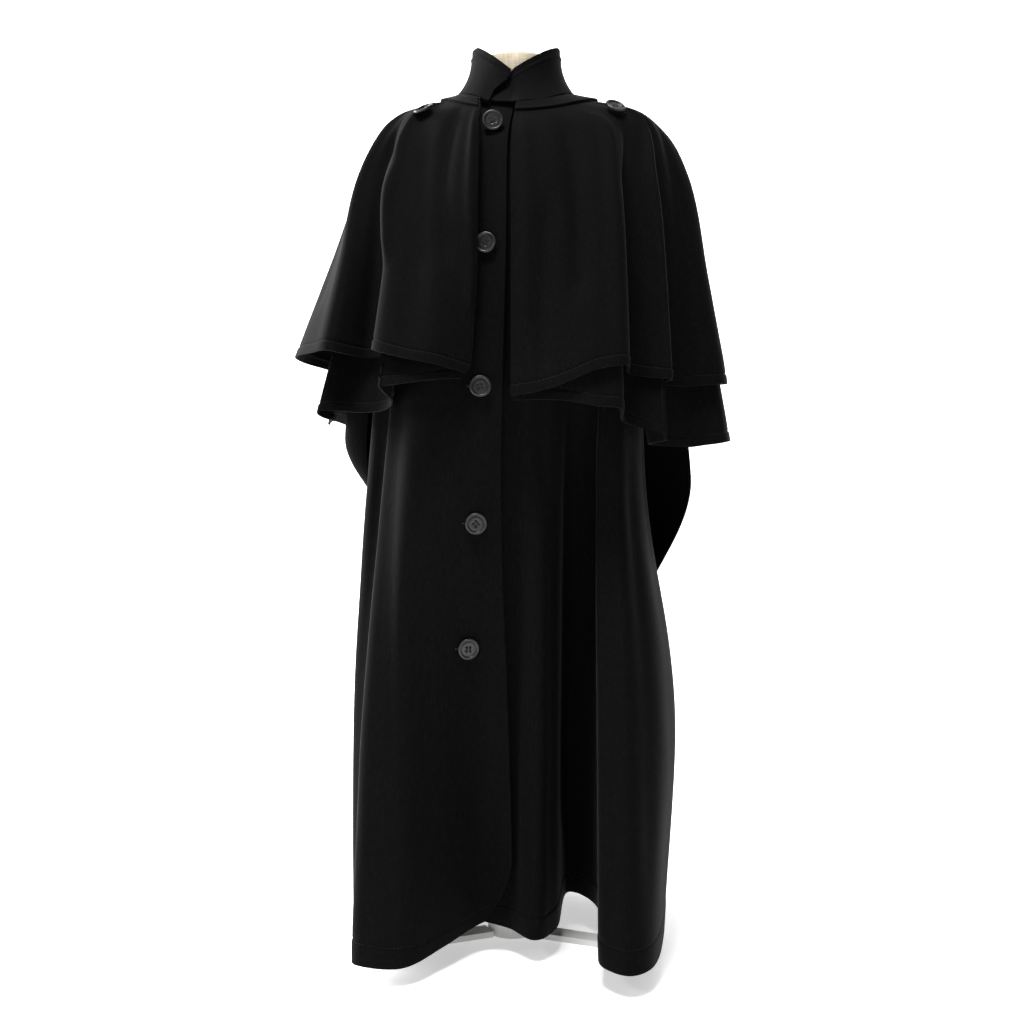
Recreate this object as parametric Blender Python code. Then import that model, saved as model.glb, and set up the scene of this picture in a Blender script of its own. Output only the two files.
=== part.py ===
"""Wool cape coat with two cape tiers, hung on a dress form: the construction.

Metres, +Z up. The front of the coat faces -Y, and +X is the side of the coat's left front.
Every cloth piece is a wall cut from a drape: a surface that runs down a row of fold lines
(ribs) from the neck to the hem. The tables hold one row for each section or fold line.
"""
import math

import bmesh
import bpy
from mathutils import Quaternion, Vector

# ---------------------------------------------------------------- driving sizes
CLOTH = 0.0026            # wool wall
SEAM_GAP = 0.0004         # open joint between two sewn pieces
LAYER_GAP = 0.0014        # air between layers that lie on each other
CAPE_LAYER = CLOTH + LAYER_GAP
NECK_X = 0.006            # the neck sits a little to the coat's left
LAP_DEPTH = 0.012         # how far the left front's edge lies under the right front
LAP_FROM = -342.0         # bearing where the left front starts to pass under
LAP_TO = -356.0
HEM_RATE = 0.41           # drop of a cape rib for each unit of v at its hem
ARM_V = 0.42              # v of the upper arm section on a cape rib
BELLY_V = 0.70            # v between the arm and the hem where a cape rib may bow
NECK_OPEN = 26.0          # degrees that the right front's cape edge stands open at the neck
NECK_OPEN_FADE = 90.0     # degrees over which that opening dies away
WAIST_Z = 0.620
KNEE_V = 0.75             # v between waist and hem where a body rib may bow
KNEE_SHARE = 0.5          # and how far down that is
BODY_KNOTS = (0.0, 0.10, 0.25, 0.50, KNEE_V, 1.0)
CAPE_KNOTS = (0.0, 0.20, ARM_V, BELLY_V, 1.0)
BODY_CORNER = {"from": 0.93, "reach": 0.85}   # the right front's lower corner is cut round
CAPE_CORNER = {"from": 0.955, "reach": 0.16}  # so are the front corners of the capes
CAPE_ROWS = (0.0, 0.06, 0.12, 0.20, 0.28, 0.36, 0.46, 0.62, 0.80, 0.96, 1.0)
BODY_ROWS = (-0.006, 0.04, 0.08, 0.13, 0.20, 0.28, 0.36, 0.44, 0.50, 0.54, 0.58, 0.62, 0.72, 0.82, 0.93,
             0.975, 1.0)
BAND_ROWS = (0.0, 0.03, 0.06)
BODY_COLUMNS = {"right": 13, "back": 18, "left": 21}
BACK_CURL_SHARE = 0.055   # share of the back's width at its curled edge, with two columns
CAPE_COLUMNS = {"right": 17, "back": 15, "left": 24}
BAND_COLUMNS = {"right": 18, "left": 20}
BAND_START = 0.05         # fold line where the right half of the neck band starts
NORMAL_STEP = 0.01        # u and v step used to read a normal
BROAD_STEP = 0.40         # u step used to read the broad lie of the cape, for the under tier

NEWTON_STEPS = 40         # search for a button's place on the cloth
SEARCH_START = 0.5        # fold line, and share of the way down, where the search starts
NEWTON_PROBE = 0.001
NEWTON_REACH_U = 0.5
NEWTON_REACH_V = 0.1
CUT_BODY_SIDE_RIGHT = 7   # fold line of the right side seam
CUT_BODY_SIDE_LEFT = 18   # fold line of the left side seam
CUT_CAPE_SIDE_RIGHT = 8
CUT_CAPE_SIDE_LEFT = 17
CAPE_CENTRE_BACK = 13.0
SEAM_U = 0.014            # half of an open seam at the neck, in fold lines
SEAM_EASE = 0.72          # share of that taken back at the hem, where fold lines lie further apart

SLIT_TOP = 1.06
SLIT_RIGHT = {"bottom": 0.602, "swing": 0.069, "full": 0.690, "curl": 0.84}
SLIT_LEFT = {"bottom": 0.497, "swing": 0.067, "full": 0.636, "curl": 0.0}
SLIT_REACH = 2.6          # fold lines over which the swing of the back dies away
SLIT_FADE = 1.5           # power of that fade
CURL_REACH = 0.5          # fold lines over which a free edge curls back in

BUTTON_RADIUS = 0.0140
BUTTON_HEIGHT = 0.0042
BUTTON_STAND = 0.0030     # thread shank under each button
BUTTON_STEPS = 20
MERGE_DISTANCE = 1e-6
BUTTON_PROFILE = (
    # radius height, both as a share of the button's
    (0.0, 0.0),
    (0.80, 0.0),
    (1.0, 0.45),
    (0.93, 1.0),
    (0.76, 1.0),
    (0.66, 0.62),
    (0.0, 0.55),
)

FORM_BOTTOM = 0.500
POLE_RADIUS = 0.0125
HUB_CENTRE = (0.0, 0.0)
LEG_LENGTH = 0.190
LEG_WIDTH = 0.030
LEG_HEIGHT = 0.008
LEG_BEARINGS = (204.0, 336.0, 90.0)
STAND_SIDES = 24
FORM_SIDES = 32
NECK_SHIFT_FROM = 1.06    # height where the form starts to lean towards NECK_X
NECK_SHIFT_OVER = 0.08
HUB_RADIUS = 0.034
HUB_HEIGHT = 0.060

# Sections of the body cloth above the waist: height at the side and at the front and back,
# then the reach to the coat's right, left, front and back.
BODY_SECTIONS = (
    # at     z_side  z_front z_back  right  left   front  back
    ("neck", 1.1580, 1.1440, 1.1620, 0.066, 0.066, 0.072, 0.058),
    ("shoulder", 1.1120, 1.0780, 1.0960, 0.128, 0.150, 0.112, 0.096),
    ("chest", 0.9300, 0.9300, 0.9300, 0.172, 0.180, 0.146, 0.125),
)

# Fold lines of the body, from the right front's edge round the back to the left front's edge.
BODY_FOLDS = (
    # bearing  waist x  waist y   hem x   hem y   hem z  belly
    (-2.6, -0.014, -0.150, 0.002, -0.108, 0.060, 0.000),
    (-14.0, -0.055, -0.158, -0.042, -0.088, 0.040, 0.000),
    (-27.0, -0.110, -0.160, -0.088, -0.150, 0.030, 0.000),
    (-40.0, -0.150, -0.144, -0.138, -0.212, 0.024, -0.004),
    (-52.0, -0.166, -0.112, -0.196, -0.194, 0.024, -0.008),
    (-64.0, -0.174, -0.058, -0.198, -0.132, 0.030, -0.009),
    (-78.0, -0.200, -0.030, -0.210, -0.080, 0.032, -0.008),
    (-92.0, -0.196, 0.015, -0.214, -0.020, 0.034, -0.006),
    (-108.0, -0.175, 0.070, -0.190, 0.060, 0.032, 0.000),
    (-124.0, -0.160, 0.118, -0.200, 0.150, 0.028, 0.000),
    (-140.0, -0.112, 0.128, -0.140, 0.182, 0.030, 0.000),
    (-156.0, -0.080, 0.158, -0.095, 0.150, 0.034, 0.000),
    (-170.0, -0.030, 0.146, -0.040, 0.214, 0.028, 0.000),
    (-184.0, 0.020, 0.162, 0.015, 0.164, 0.034, 0.000),
    (-200.0, 0.070, 0.146, 0.075, 0.214, 0.028, 0.000),
    (-216.0, 0.115, 0.148, 0.125, 0.165, 0.032, 0.000),
    (-232.0, 0.152, 0.112, 0.182, 0.168, 0.028, 0.004),
    (-248.0, 0.180, 0.075, 0.182, 0.080, 0.032, 0.010),
    (-264.0, 0.188, 0.020, 0.210, 0.010, 0.032, 0.025),
    (-280.0, 0.184, -0.040, 0.200, -0.110, 0.028, 0.027),
    (-294.0, 0.166, -0.088, 0.176, -0.218, 0.028, 0.014),
    (-306.0, 0.142, -0.112, 0.140, -0.246, 0.028, 0.004),
    (-316.0, 0.116, -0.098, 0.112, -0.195, 0.030, 0.000),
    (-324.0, 0.111, -0.068, 0.118, -0.040, 0.044, 0.000),
    (-332.0, 0.082, -0.074, 0.078, 0.010, 0.050, 0.000),
    (-340.0, 0.058, -0.108, 0.060, -0.085, 0.034, 0.000),
    (-348.0, 0.030, -0.128, 0.028, -0.124, 0.030, 0.000),
    (-356.0, 0.000, -0.134, -0.004, -0.092, 0.034, 0.000),
    (-368.0, -0.038, -0.138, -0.042, -0.066, 0.036, 0.000),
)

# Sections of the upper cape down to the upper arm, in the same columns as the body's.
CAPE_SECTIONS = (
    ("neck", 1.1635, 1.1380, 1.1740, 0.081, 0.081, 0.089, 0.073),
    ("shoulder", 1.1370, 1.0900, 1.1150, 0.154, 0.190, 0.128, 0.110),
    ("arm", 1.0550, 1.0000, 1.0200, 0.206, 0.240, 0.158, 0.140),
)

# Fold lines of both cape tiers. Turn moves the fold along the shoulder section, in degrees.
# Arm is how far a crest (+) or a recess (-) stands off the upper arm section, the hem columns
# place the upper tier's hem, belly bows the line sideways between arm and hem, drop is how
# much longer the under tier hangs there, and inset is how far inside the upper tier it lies.
CAPE_FOLDS = (
    # bearing turn   arm    hem x   hem y   hem z  belly  drop   inset
    (-12.5, -4.0, -0.002, -0.053, -0.176, 0.770, 0.004, 0.004, 0.010),
    (-25.0, -4.0, 0.004, -0.092, -0.200, 0.781, 0.002, 0.016, 0.012),
    (-37.5, -4.0, -0.002, -0.140, -0.204, 0.791, 0.003, 0.030, 0.014),
    (-50.0, -4.0, 0.012, -0.178, -0.186, 0.801, 0.006, 0.046, 0.016),
    (-60.0, -3.0, -0.016, -0.162, -0.132, 0.801, 0.004, 0.066, 0.007),
    (-68.0, -2.0, -0.022, -0.190, -0.092, 0.797, 0.002, 0.068, 0.010),
    (-77.0, 0.0, 0.000, -0.238, -0.128, 0.802, 0.000, 0.066, 0.046),
    (-88.0, 0.0, 0.004, -0.290, -0.066, 0.802, 0.000, 0.064, 0.074),
    (-102.0, 0.0, 0.000, -0.297, 0.015, 0.797, 0.000, 0.054, 0.076),
    (-118.0, 0.0, -0.006, -0.262, 0.095, 0.788, 0.000, 0.058, 0.044),
    (-134.0, 0.0, 0.008, -0.220, 0.178, 0.778, 0.000, 0.068, 0.020),
    (-150.0, 0.0, -0.006, -0.142, 0.168, 0.778, 0.000, 0.072, 0.014),
    (-166.0, 0.0, 0.006, -0.086, 0.226, 0.770, 0.000, 0.070, 0.016),
    (-182.0, 0.0, -0.004, 0.000, 0.186, 0.774, 0.000, 0.074, 0.014),
    (-198.0, 0.0, 0.006, 0.088, 0.222, 0.768, 0.000, 0.070, 0.016),
    (-214.0, 0.0, -0.006, 0.146, 0.170, 0.774, 0.000, 0.074, 0.014),
    (-230.0, 0.0, 0.006, 0.226, 0.176, 0.766, 0.000, 0.074, 0.018),
    (-248.0, 0.0, -0.004, 0.264, 0.098, 0.768, 0.000, 0.074, 0.016),
    (-262.0, 0.0, 0.004, 0.301, 0.030, 0.766, 0.000, 0.064, 0.011),
    (-275.0, 1.0, 0.002, 0.288, -0.044, 0.764, 0.000, 0.064, 0.012),
    (-286.0, 4.0, -0.014, 0.238, -0.058, 0.760, 0.000, 0.066, 0.018),
    (-298.0, 9.0, -0.024, 0.194, -0.082, 0.762, 0.000, 0.068, 0.009),
    (-308.5, 12.0, 0.002, 0.204, -0.146, 0.765, 0.002, 0.068, 0.010),
    (-317.0, 11.0, -0.010, 0.158, -0.134, 0.772, 0.000, 0.060, 0.009),
    (-325.5, 8.0, 0.006, 0.146, -0.184, 0.780, 0.002, 0.054, 0.009),
    (-333.0, 5.0, 0.004, 0.108, -0.202, 0.776, 0.000, 0.044, 0.012),
    (-341.5, 2.0, 0.000, 0.064, -0.196, 0.758, 0.000, 0.018, 0.013),
    (-351.0, 0.0, 0.000, 0.030, -0.186, 0.748, 0.000, 0.008, 0.012),
    (-360.3, 0.0, 0.000, -0.002, -0.178, 0.743, 0.000, 0.004, 0.012),
)
CAPE_DROP = 7             # column numbers of the table above
CAPE_INSET = 8

# Front buttons on the right front: height and distance from the centre line, how far it is
# turned aside and tilted down in degrees, and how far it stands off the cloth.
FRONT_BUTTONS = (
    # z      x      turn  tilt  stand
    (1.107, -0.0245, 12.0, 26.0, 0.0080),
    (0.943, -0.034, 0.0, 0.0, BUTTON_STAND),
    (0.756, -0.041, 0.0, 0.0, BUTTON_STAND),
    (0.579, -0.047, 0.0, 0.0, BUTTON_STAND),
    (0.415, -0.058, 0.0, 0.0, BUTTON_STAND),
)

# Shoulder buttons on the upper cape: distance from the centre line and from front to back,
# the way the button faces, how far it stands off the cloth, and the fold line near it.
SHOULDER_BUTTONS = (
    # side    x       y       faces                  stand   fold line
    ("right", -0.117, -0.072, (-0.36, -0.30, 0.88), 0.0055, 4.5),
    ("left", 0.138, -0.071, (0.27, -0.60, 0.75), 0.0050, 21.0),
)

# Stand collar. The two fronts meet at COLLAR_MEET; from there each top edge rises straight
# to its point, and the left half's end lies inside the right half.
COLLAR_FOOT = (
    # bearing  height
    (0.0, 1.1420),
    (24.0, 1.1460),
    (48.0, 1.1580),
    (64.0, 1.1640),
    (90.0, 1.1695),
    (135.0, 1.1760),
    (180.0, 1.1790),
)
COLLAR_MEET = -6.0
COLLAR_MEET_Z = 1.1890
COLLAR_POINTS = (
    # side   bearing height
    ("right", -60.0, 1.2275),
    ("left", 70.0, 1.2300),
)
COLLAR_BACK_Z = 1.2310
COLLAR_FOOT_RADIUS = (0.0800, 0.0875, 0.0720)   # across, to the front, to the back
COLLAR_TOP_RADIUS = (0.0600, 0.0640, 0.0620)
COLLAR_FLARE = 2.6        # power of the collar's spread towards its foot
COLLAR_CUT = (
    # v     bearing of the right half's front edge
    (0.0, -28.0),
    (0.29, -26.0),
    (0.63, -12.0),
    (1.0, -6.5),
)
COLLAR_TUCK = (
    # bearing  how far inside the left half's end lies
    (-32.0, 0.0065),
    (-7.0, 0.0065),
    (0.0, 0.0),
)
COLLAR_TUCK_SINK = 0.0025 # how much lower that end is
COLLAR_SEAM = 179.85      # bearing of the centre back seam
COLLAR_ROWS = (0.0, 0.14, 0.29, 0.63, 1.0)
COLLAR_COLUMNS = {"tuck": 2, "meet": 1, "front": 4, "back": 7}

# Linen body of the form: height, half width, reach to the front and to the back.
FORM_SECTIONS = (
    # z      half   front  back
    (0.500, 0.114, 0.052, 0.098),
    (0.560, 0.122, 0.058, 0.104),
    (0.660, 0.124, 0.070, 0.104),
    (0.780, 0.112, 0.084, 0.090),
    (0.900, 0.124, 0.104, 0.088),
    (1.000, 0.140, 0.112, 0.096),
    (1.060, 0.142, 0.096, 0.092),
    (1.095, 0.126, 0.076, 0.076),
    (1.120, 0.098, 0.062, 0.062),
    (1.140, 0.068, 0.054, 0.054),
    (1.160, 0.053, 0.052, 0.052),
    (1.218, 0.050, 0.052, 0.050),
)

MATERIALS = {
    # name: colour, roughness, metallic
    "wool": ((0.012, 0.012, 0.014), 0.95, 0.0),
    "button": ((0.010, 0.010, 0.011), 0.35, 0.0),
    "linen": ((0.62, 0.54, 0.42), 0.90, 0.0),
    "stand_paint": ((0.80, 0.80, 0.78), 0.40, 0.0),
}


# ---------------------------------------------------------------- curves and drapes
def smooth_value(knots, values, t):
    """Cubic through values at the knots, straight beyond the last one."""
    last = len(knots) - 1
    slopes = []
    for i in range(last + 1):
        low = max(i - 1, 0)
        high = min(i + 1, last)
        slopes.append((values[high] - values[low]) / (knots[high] - knots[low]))
    if t >= knots[last]:
        return values[last] + slopes[last] * (t - knots[last])
    i = 0
    while i < last - 1 and t > knots[i + 1]:
        i += 1
    span = knots[i + 1] - knots[i]
    s = (t - knots[i]) / span
    s2 = s * s
    s3 = s2 * s
    return (values[i] * (2 * s3 - 3 * s2 + 1) + slopes[i] * (span * (s3 - 2 * s2 + s))
            + values[i + 1] * (3 * s2 - 2 * s3) + slopes[i + 1] * (span * (s3 - s2)))


def section_point(section, bearing, centre_x):
    """A point on a rounded section; bearing 0 is the front and grows to the coat's left."""
    _, z_side, z_front, z_back, right, left, front, back = section
    angle = math.radians(bearing)
    across = math.sin(angle)
    along = math.cos(angle)
    reach_x = left if across > 0 else right
    reach_y = front if along > 0 else back
    z_end = z_front if along > 0 else z_back
    return Vector((centre_x + reach_x * across, -reach_y * along,
                   z_end + (z_side - z_end) * across * across))


def body_rib(row, v):
    """The body's fold line: neck, shoulder, chest, waist, knee, hem."""
    bearing, waist_x, waist_y, hem_x, hem_y, hem_z, belly = row
    points = [section_point(BODY_SECTIONS[0], bearing, NECK_X)]
    points += [section_point(section, bearing, 0.0) for section in BODY_SECTIONS[1:]]
    lap = LAP_DEPTH * min(max((LAP_FROM - bearing) / (LAP_FROM - LAP_TO), 0.0), 1.0)
    points = [point + Vector((0.0, lap, 0.0)) for point in points]
    waist = Vector((waist_x, waist_y, WAIST_Z))
    hem = Vector((hem_x, hem_y, hem_z))
    return smooth_value(BODY_KNOTS, points + bowed(waist, hem, KNEE_SHARE, belly), v)


def bowed(start, end, share, belly):
    """Two points and one between them, bowed sideways by belly."""
    middle = start + (end - start) * share
    return [start, middle + Vector((belly, 0.0, 0.0)), end]


def cape_rib(row, v):
    """The upper cape's fold line: neck, shoulder, upper arm, belly, hem, and straight on."""
    bearing, turn, arm_out, hem_x, hem_y, hem_z, belly = row[:CAPE_DROP]
    angle = math.radians(bearing)
    opening = NECK_OPEN * max(0.0, 1 + (bearing - CAPE_FOLDS[0][0]) / NECK_OPEN_FADE)
    neck = section_point(CAPE_SECTIONS[0], bearing - opening, NECK_X)
    shoulder = section_point(CAPE_SECTIONS[1], bearing + turn, 0.0)
    arm = section_point(CAPE_SECTIONS[2], bearing, 0.0)
    arm += arm_out * Vector((math.sin(angle), -math.cos(angle), 0.0))
    hem = Vector((hem_x, hem_y, hem_z))
    share = (BELLY_V - ARM_V) / (1 - ARM_V)
    return smooth_value(CAPE_KNOTS, [neck, shoulder] + bowed(arm, hem, share, belly), v)


def longer_cape_rib(row, v):
    """The same fold line run on below the upper hem by the row's drop."""
    longer = row[CAPE_DROP] / HEM_RATE
    return cape_rib(row, v + longer * max(v - ARM_V, 0.0) / (1 - ARM_V))


def across_ribs(rib, rows, u, v):
    """The drape between fold lines: a cubic through the ribs on each side of u."""
    last = len(rows) - 1
    i = min(max(int(math.floor(u)), 0), last - 1)
    near = range(max(i - 1, 0), min(i + 2, last) + 1)
    return smooth_value(tuple(near), [rib(rows[k], v) for k in near], u)


def row_value(rows, column, u):
    """A table column read between fold lines."""
    i = min(max(int(math.floor(u)), 0), len(rows) - 2)
    share = u - i
    return rows[i][column] * (1 - share) + rows[i + 1][column] * share


def body_drape(u, v):
    """The body cloth as one sheet, before it is cut into panels."""
    return across_ribs(body_rib, BODY_FOLDS, u, v)


def slit_bow(z, slit):
    """How far the back swings out at a height, as a share of the slit's swing."""
    if z < slit["full"]:
        rise = max((z - slit["bottom"]) / (slit["full"] - slit["bottom"]), 0.0)
        return (3 * rise - rise ** 3) / 2
    fade = min((z - slit["full"]) / (SLIT_TOP - slit["full"]), 1.0)
    return (1 + math.cos(math.pi * fade)) / 2


def back_drape(u, v):
    """The body cloth with the back's side edges swung out above the side seams."""
    point = body_drape(u, v)
    for seam, slit, side in ((CUT_BODY_SIDE_RIGHT, SLIT_RIGHT, -1.0),
                             (CUT_BODY_SIDE_LEFT, SLIT_LEFT, 1.0)):
        nearness = max(1 - abs(u - seam) / SLIT_REACH, 0.0)
        curl = slit["curl"] * max(1 - abs(u - seam) / CURL_REACH, 0.0) ** 2
        swing = slit["swing"] * slit_bow(point.z, slit) * nearness ** SLIT_FADE * (1 - curl)
        point = point + Vector((side * swing, 0.0, 0.0))
    return point


def upper_cape_drape(u, v):
    return across_ribs(cape_rib, CAPE_FOLDS, u, v)


def longer_cape_drape(u, v):
    return across_ribs(longer_cape_rib, CAPE_FOLDS, u, v)


def normal_of(drape, u, v, step=NORMAL_STEP):
    """Outward normal of a drape, whose u runs clockwise seen from above."""
    along = drape(u + step, v) - drape(u - step, v)
    down = drape(u, v + NORMAL_STEP) - drape(u, max(v - NORMAL_STEP, 0.0))
    return along.cross(down).normalized()


def moved_out(drape, distance, step=NORMAL_STEP):
    """A drape that lies on another one, distance(u, v) further out."""
    def surface(u, v):
        return drape(u, v) + normal_of(drape, u, v, step) * distance(u, v)
    return surface


def under_cape_inset(u, v):
    """Air and cloth between the tiers: one layer at the neck, the table's inset at the hem."""
    return -(CAPE_LAYER + (row_value(CAPE_FOLDS, CAPE_INSET, u) - CAPE_LAYER) * v)


def under_cape_drape(u, v):
    """The under tier: longer than the upper one, and inside it."""
    return moved_out(longer_cape_drape, under_cape_inset, BROAD_STEP)(u, v)


def table_value(table, x):
    """A two-column table read between its rows, constant outside them."""
    x = min(max(x, table[0][0]), table[-1][0])
    i = 0
    while i < len(table) - 2 and x > table[i + 1][0]:
        i += 1
    share = (x - table[i][0]) / (table[i + 1][0] - table[i][0])
    return table[i][1] * (1 - share) + table[i + 1][1] * share


def collar_top(bearing, point_bearing, point_z):
    """Height of the collar's top edge: straight from the meeting point to the collar's point."""
    middle = math.sin(math.radians(COLLAR_MEET))
    reach = math.sin(math.radians(point_bearing)) - middle
    share = (math.sin(math.radians(bearing)) - middle) / reach
    if abs(bearing) > abs(point_bearing):
        share = 1.0
    behind = max(abs(bearing) - abs(point_bearing), 0.0) / (COLLAR_SEAM - abs(point_bearing))
    front = COLLAR_MEET_Z + (point_z - COLLAR_MEET_Z) * share
    return max(front, COLLAR_MEET_Z - COLLAR_TUCK_SINK) + (COLLAR_BACK_Z - point_z) * behind


def collar_point(bearing, v, point_bearing, point_z, outward):
    """The stand collar: v runs from its spread foot to its top edge."""
    foot = table_value(COLLAR_FOOT, abs(bearing))
    z = foot + (collar_top(bearing, point_bearing, point_z) - foot) * v
    spread = (1 - v) ** COLLAR_FLARE
    angle = math.radians(bearing)
    end = 1 if math.cos(angle) > 0 else 2
    across = COLLAR_TOP_RADIUS[0] + (COLLAR_FOOT_RADIUS[0] - COLLAR_TOP_RADIUS[0]) * spread
    along = COLLAR_TOP_RADIUS[end] + (COLLAR_FOOT_RADIUS[end] - COLLAR_TOP_RADIUS[end]) * spread
    return Vector((NECK_X + (across + outward) * math.sin(angle), -(along + outward) * math.cos(angle), z))


# ---------------------------------------------------------------- solids
def clear_scene():
    for item in list(bpy.data.objects):
        bpy.data.objects.remove(item, do_unlink=True)


def material(kind):
    found = bpy.data.materials.get(kind)
    if found:
        return found
    colour, roughness, metallic = MATERIALS[kind]
    made = bpy.data.materials.new(kind)
    made.use_nodes = True
    shader = made.node_tree.nodes["Principled BSDF"]
    shader.inputs["Base Color"].default_value = (*colour, 1.0)
    shader.inputs["Roughness"].default_value = roughness
    shader.inputs["Metallic"].default_value = metallic
    return made


def add_object(name, bm, kind, smooth=True):
    bmesh.ops.recalc_face_normals(bm, faces=bm.faces[:])
    mesh = bpy.data.meshes.new(name)
    bm.to_mesh(mesh)
    bm.free()
    for polygon in mesh.polygons:
        polygon.use_smooth = smooth
    mesh.materials.append(material(kind))
    item = bpy.data.objects.new(name, mesh)
    bpy.context.scene.collection.objects.link(item)
    return item


def grid_wall(name, outer, inner, kind):
    """A closed wall between two grids of points with the same rows and columns."""
    bm = bmesh.new()
    skins = [[[bm.verts.new(p) for p in row] for row in grid] for grid in (outer, inner)]
    rows = len(outer)
    columns = len(outer[0])
    for skin in skins:
        for j in range(rows - 1):
            for i in range(columns - 1):
                bm.faces.new((skin[j][i], skin[j][i + 1], skin[j + 1][i + 1], skin[j + 1][i]))
    rim = [(0, i) for i in range(columns)]
    rim += [(j, columns - 1) for j in range(1, rows)]
    rim += [(rows - 1, i) for i in range(columns - 2, -1, -1)]
    rim += [(j, 0) for j in range(rows - 2, 0, -1)]
    for (j0, i0), (j1, i1) in zip(rim, rim[1:] + rim[:1]):
        bm.faces.new((skins[0][j0][i0], skins[0][j1][i1], skins[1][j1][i1], skins[1][j0][i0]))
    return add_object(name, bm, kind)


def column_shares(columns, curled):
    """Shares of a panel's width at its columns; a curled edge at its start has two of them."""
    if curled is None:
        return even_steps((0.0, 1.0), (columns,))
    return even_steps((0.0, curled, 1.0), (2, columns - 2))


def cloth_panel(name, drape, u_range, columns, rows, corner=None, curled=None):
    """A panel cut from a drape, with a row of points at each v of rows."""
    outer = []
    inner = []
    for v in rows:
        start = u_range[0] + seam_ease(u_range[0], v) + corner_cut(corner, v)
        end = u_range[1] + seam_ease(u_range[1], v)
        outer_row = []
        inner_row = []
        for share in column_shares(columns, curled):
            u = start + (end - start) * share
            point = drape(u, v)
            normal = normal_of(drape, u, v)
            outer_row.append(point)
            inner_row.append(point - normal * CLOTH)
        outer.append(outer_row)
        inner.append(inner_row)
    return grid_wall(name, outer, inner, "wool")


def seam_ease(u, v):
    """How far a cut end moves towards its seam below the neck; a front edge stays in place."""
    return (round(u) - u) * SEAM_EASE * max(v, 0.0)


def corner_cut(corner, v):
    """How much of a front edge the rounded lower corner takes away, in fold lines."""
    if corner is None or v <= corner["from"]:
        return 0.0
    return corner["reach"] * ((v - corner["from"]) / (1 - corner["from"])) ** 2


def build_body():
    cut_right = CUT_BODY_SIDE_RIGHT
    cut_left = CUT_BODY_SIDE_LEFT
    last = len(BODY_FOLDS) - 1.0
    cloth_panel("body_right_front", body_drape, (0.0, cut_right - SEAM_U), BODY_COLUMNS["right"],
                BODY_ROWS, BODY_CORNER)
    cloth_panel("body_back", back_drape, (cut_right + SEAM_U, cut_left - SEAM_U), BODY_COLUMNS["back"],
                BODY_ROWS, curled=BACK_CURL_SHARE)
    cloth_panel("body_left_front", body_drape, (cut_left + SEAM_U, last), BODY_COLUMNS["left"], BODY_ROWS)


def build_capes():
    cut_right = CUT_CAPE_SIDE_RIGHT
    cut_left = CUT_CAPE_SIDE_LEFT
    last = len(CAPE_FOLDS) - 1.0
    for tier, drape in (("under_cape", under_cape_drape), ("upper_cape", upper_cape_drape)):
        cloth_panel(tier + "_right", drape, (0.0, cut_right - SEAM_U), CAPE_COLUMNS["right"], CAPE_ROWS,
                    CAPE_CORNER)
        cloth_panel(tier + "_back", drape, (cut_right + SEAM_U, cut_left - SEAM_U), CAPE_COLUMNS["back"],
                    CAPE_ROWS)
        cloth_panel(tier + "_left", drape, (cut_left + SEAM_U, last), CAPE_COLUMNS["left"], CAPE_ROWS)


def build_neck_band():
    last = len(CAPE_FOLDS) - 1.0
    on_cape = moved_out(upper_cape_drape, lambda u, v: CAPE_LAYER)
    cloth_panel("neck_band_right", on_cape, (BAND_START, CAPE_CENTRE_BACK - SEAM_U), BAND_COLUMNS["right"],
                BAND_ROWS)
    cloth_panel("neck_band_left", on_cape, (CAPE_CENTRE_BACK + SEAM_U, last), BAND_COLUMNS["left"], BAND_ROWS)


def even_steps(stops, counts):
    """Numbers that run through the stops, with a count of equal steps between each two."""
    out = [stops[0]]
    for low, high, count in zip(stops, stops[1:], counts):
        out += [low + (high - low) * (k + 1) / count for k in range(count)]
    return out


def build_collar():
    front = COLLAR_COLUMNS["front"]
    back = COLLAR_COLUMNS["back"]
    for side, point_bearing, point_z in COLLAR_POINTS:
        grids = ([], [])
        for v in COLLAR_ROWS:
            if side == "right":
                stops = (table_value(COLLAR_CUT, v), point_bearing, -COLLAR_SEAM)
                bearings = even_steps(stops, (front, back))
            else:
                stops = [row[0] for row in COLLAR_TUCK] + [point_bearing, COLLAR_SEAM]
                bearings = even_steps(stops, tuple(COLLAR_COLUMNS.values()))
            for grid, outward in zip(grids, (0.0, -CLOTH)):
                tucks = [table_value(COLLAR_TUCK, b) if side == "left" else 0.0 for b in bearings]
                grid.append([collar_point(b, v, point_bearing, point_z, outward - tuck)
                             for b, tuck in zip(bearings, tucks)])
        grid_wall("collar_" + side, grids[0], grids[1], "wool")


def build_button(name, centre, facing):
    """A dished button, spun from its profile and turned to face out of the cloth."""
    bm = bmesh.new()
    verts = [bm.verts.new((BUTTON_RADIUS * x, 0.0, BUTTON_HEIGHT * z)) for x, z in BUTTON_PROFILE]
    edges = [bm.edges.new(pair) for pair in zip(verts, verts[1:])]
    bmesh.ops.spin(bm, geom=verts + edges, cent=(0, 0, 0), axis=(0, 0, 1),
                   angle=2 * math.pi, steps=BUTTON_STEPS, use_merge=True)
    bmesh.ops.remove_doubles(bm, verts=bm.verts[:], dist=MERGE_DISTANCE)
    item = add_object(name, bm, "button")
    item.location = centre
    item.rotation_mode = "QUATERNION"
    item.rotation_quaternion = facing.to_track_quat("Z", "Y")


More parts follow.
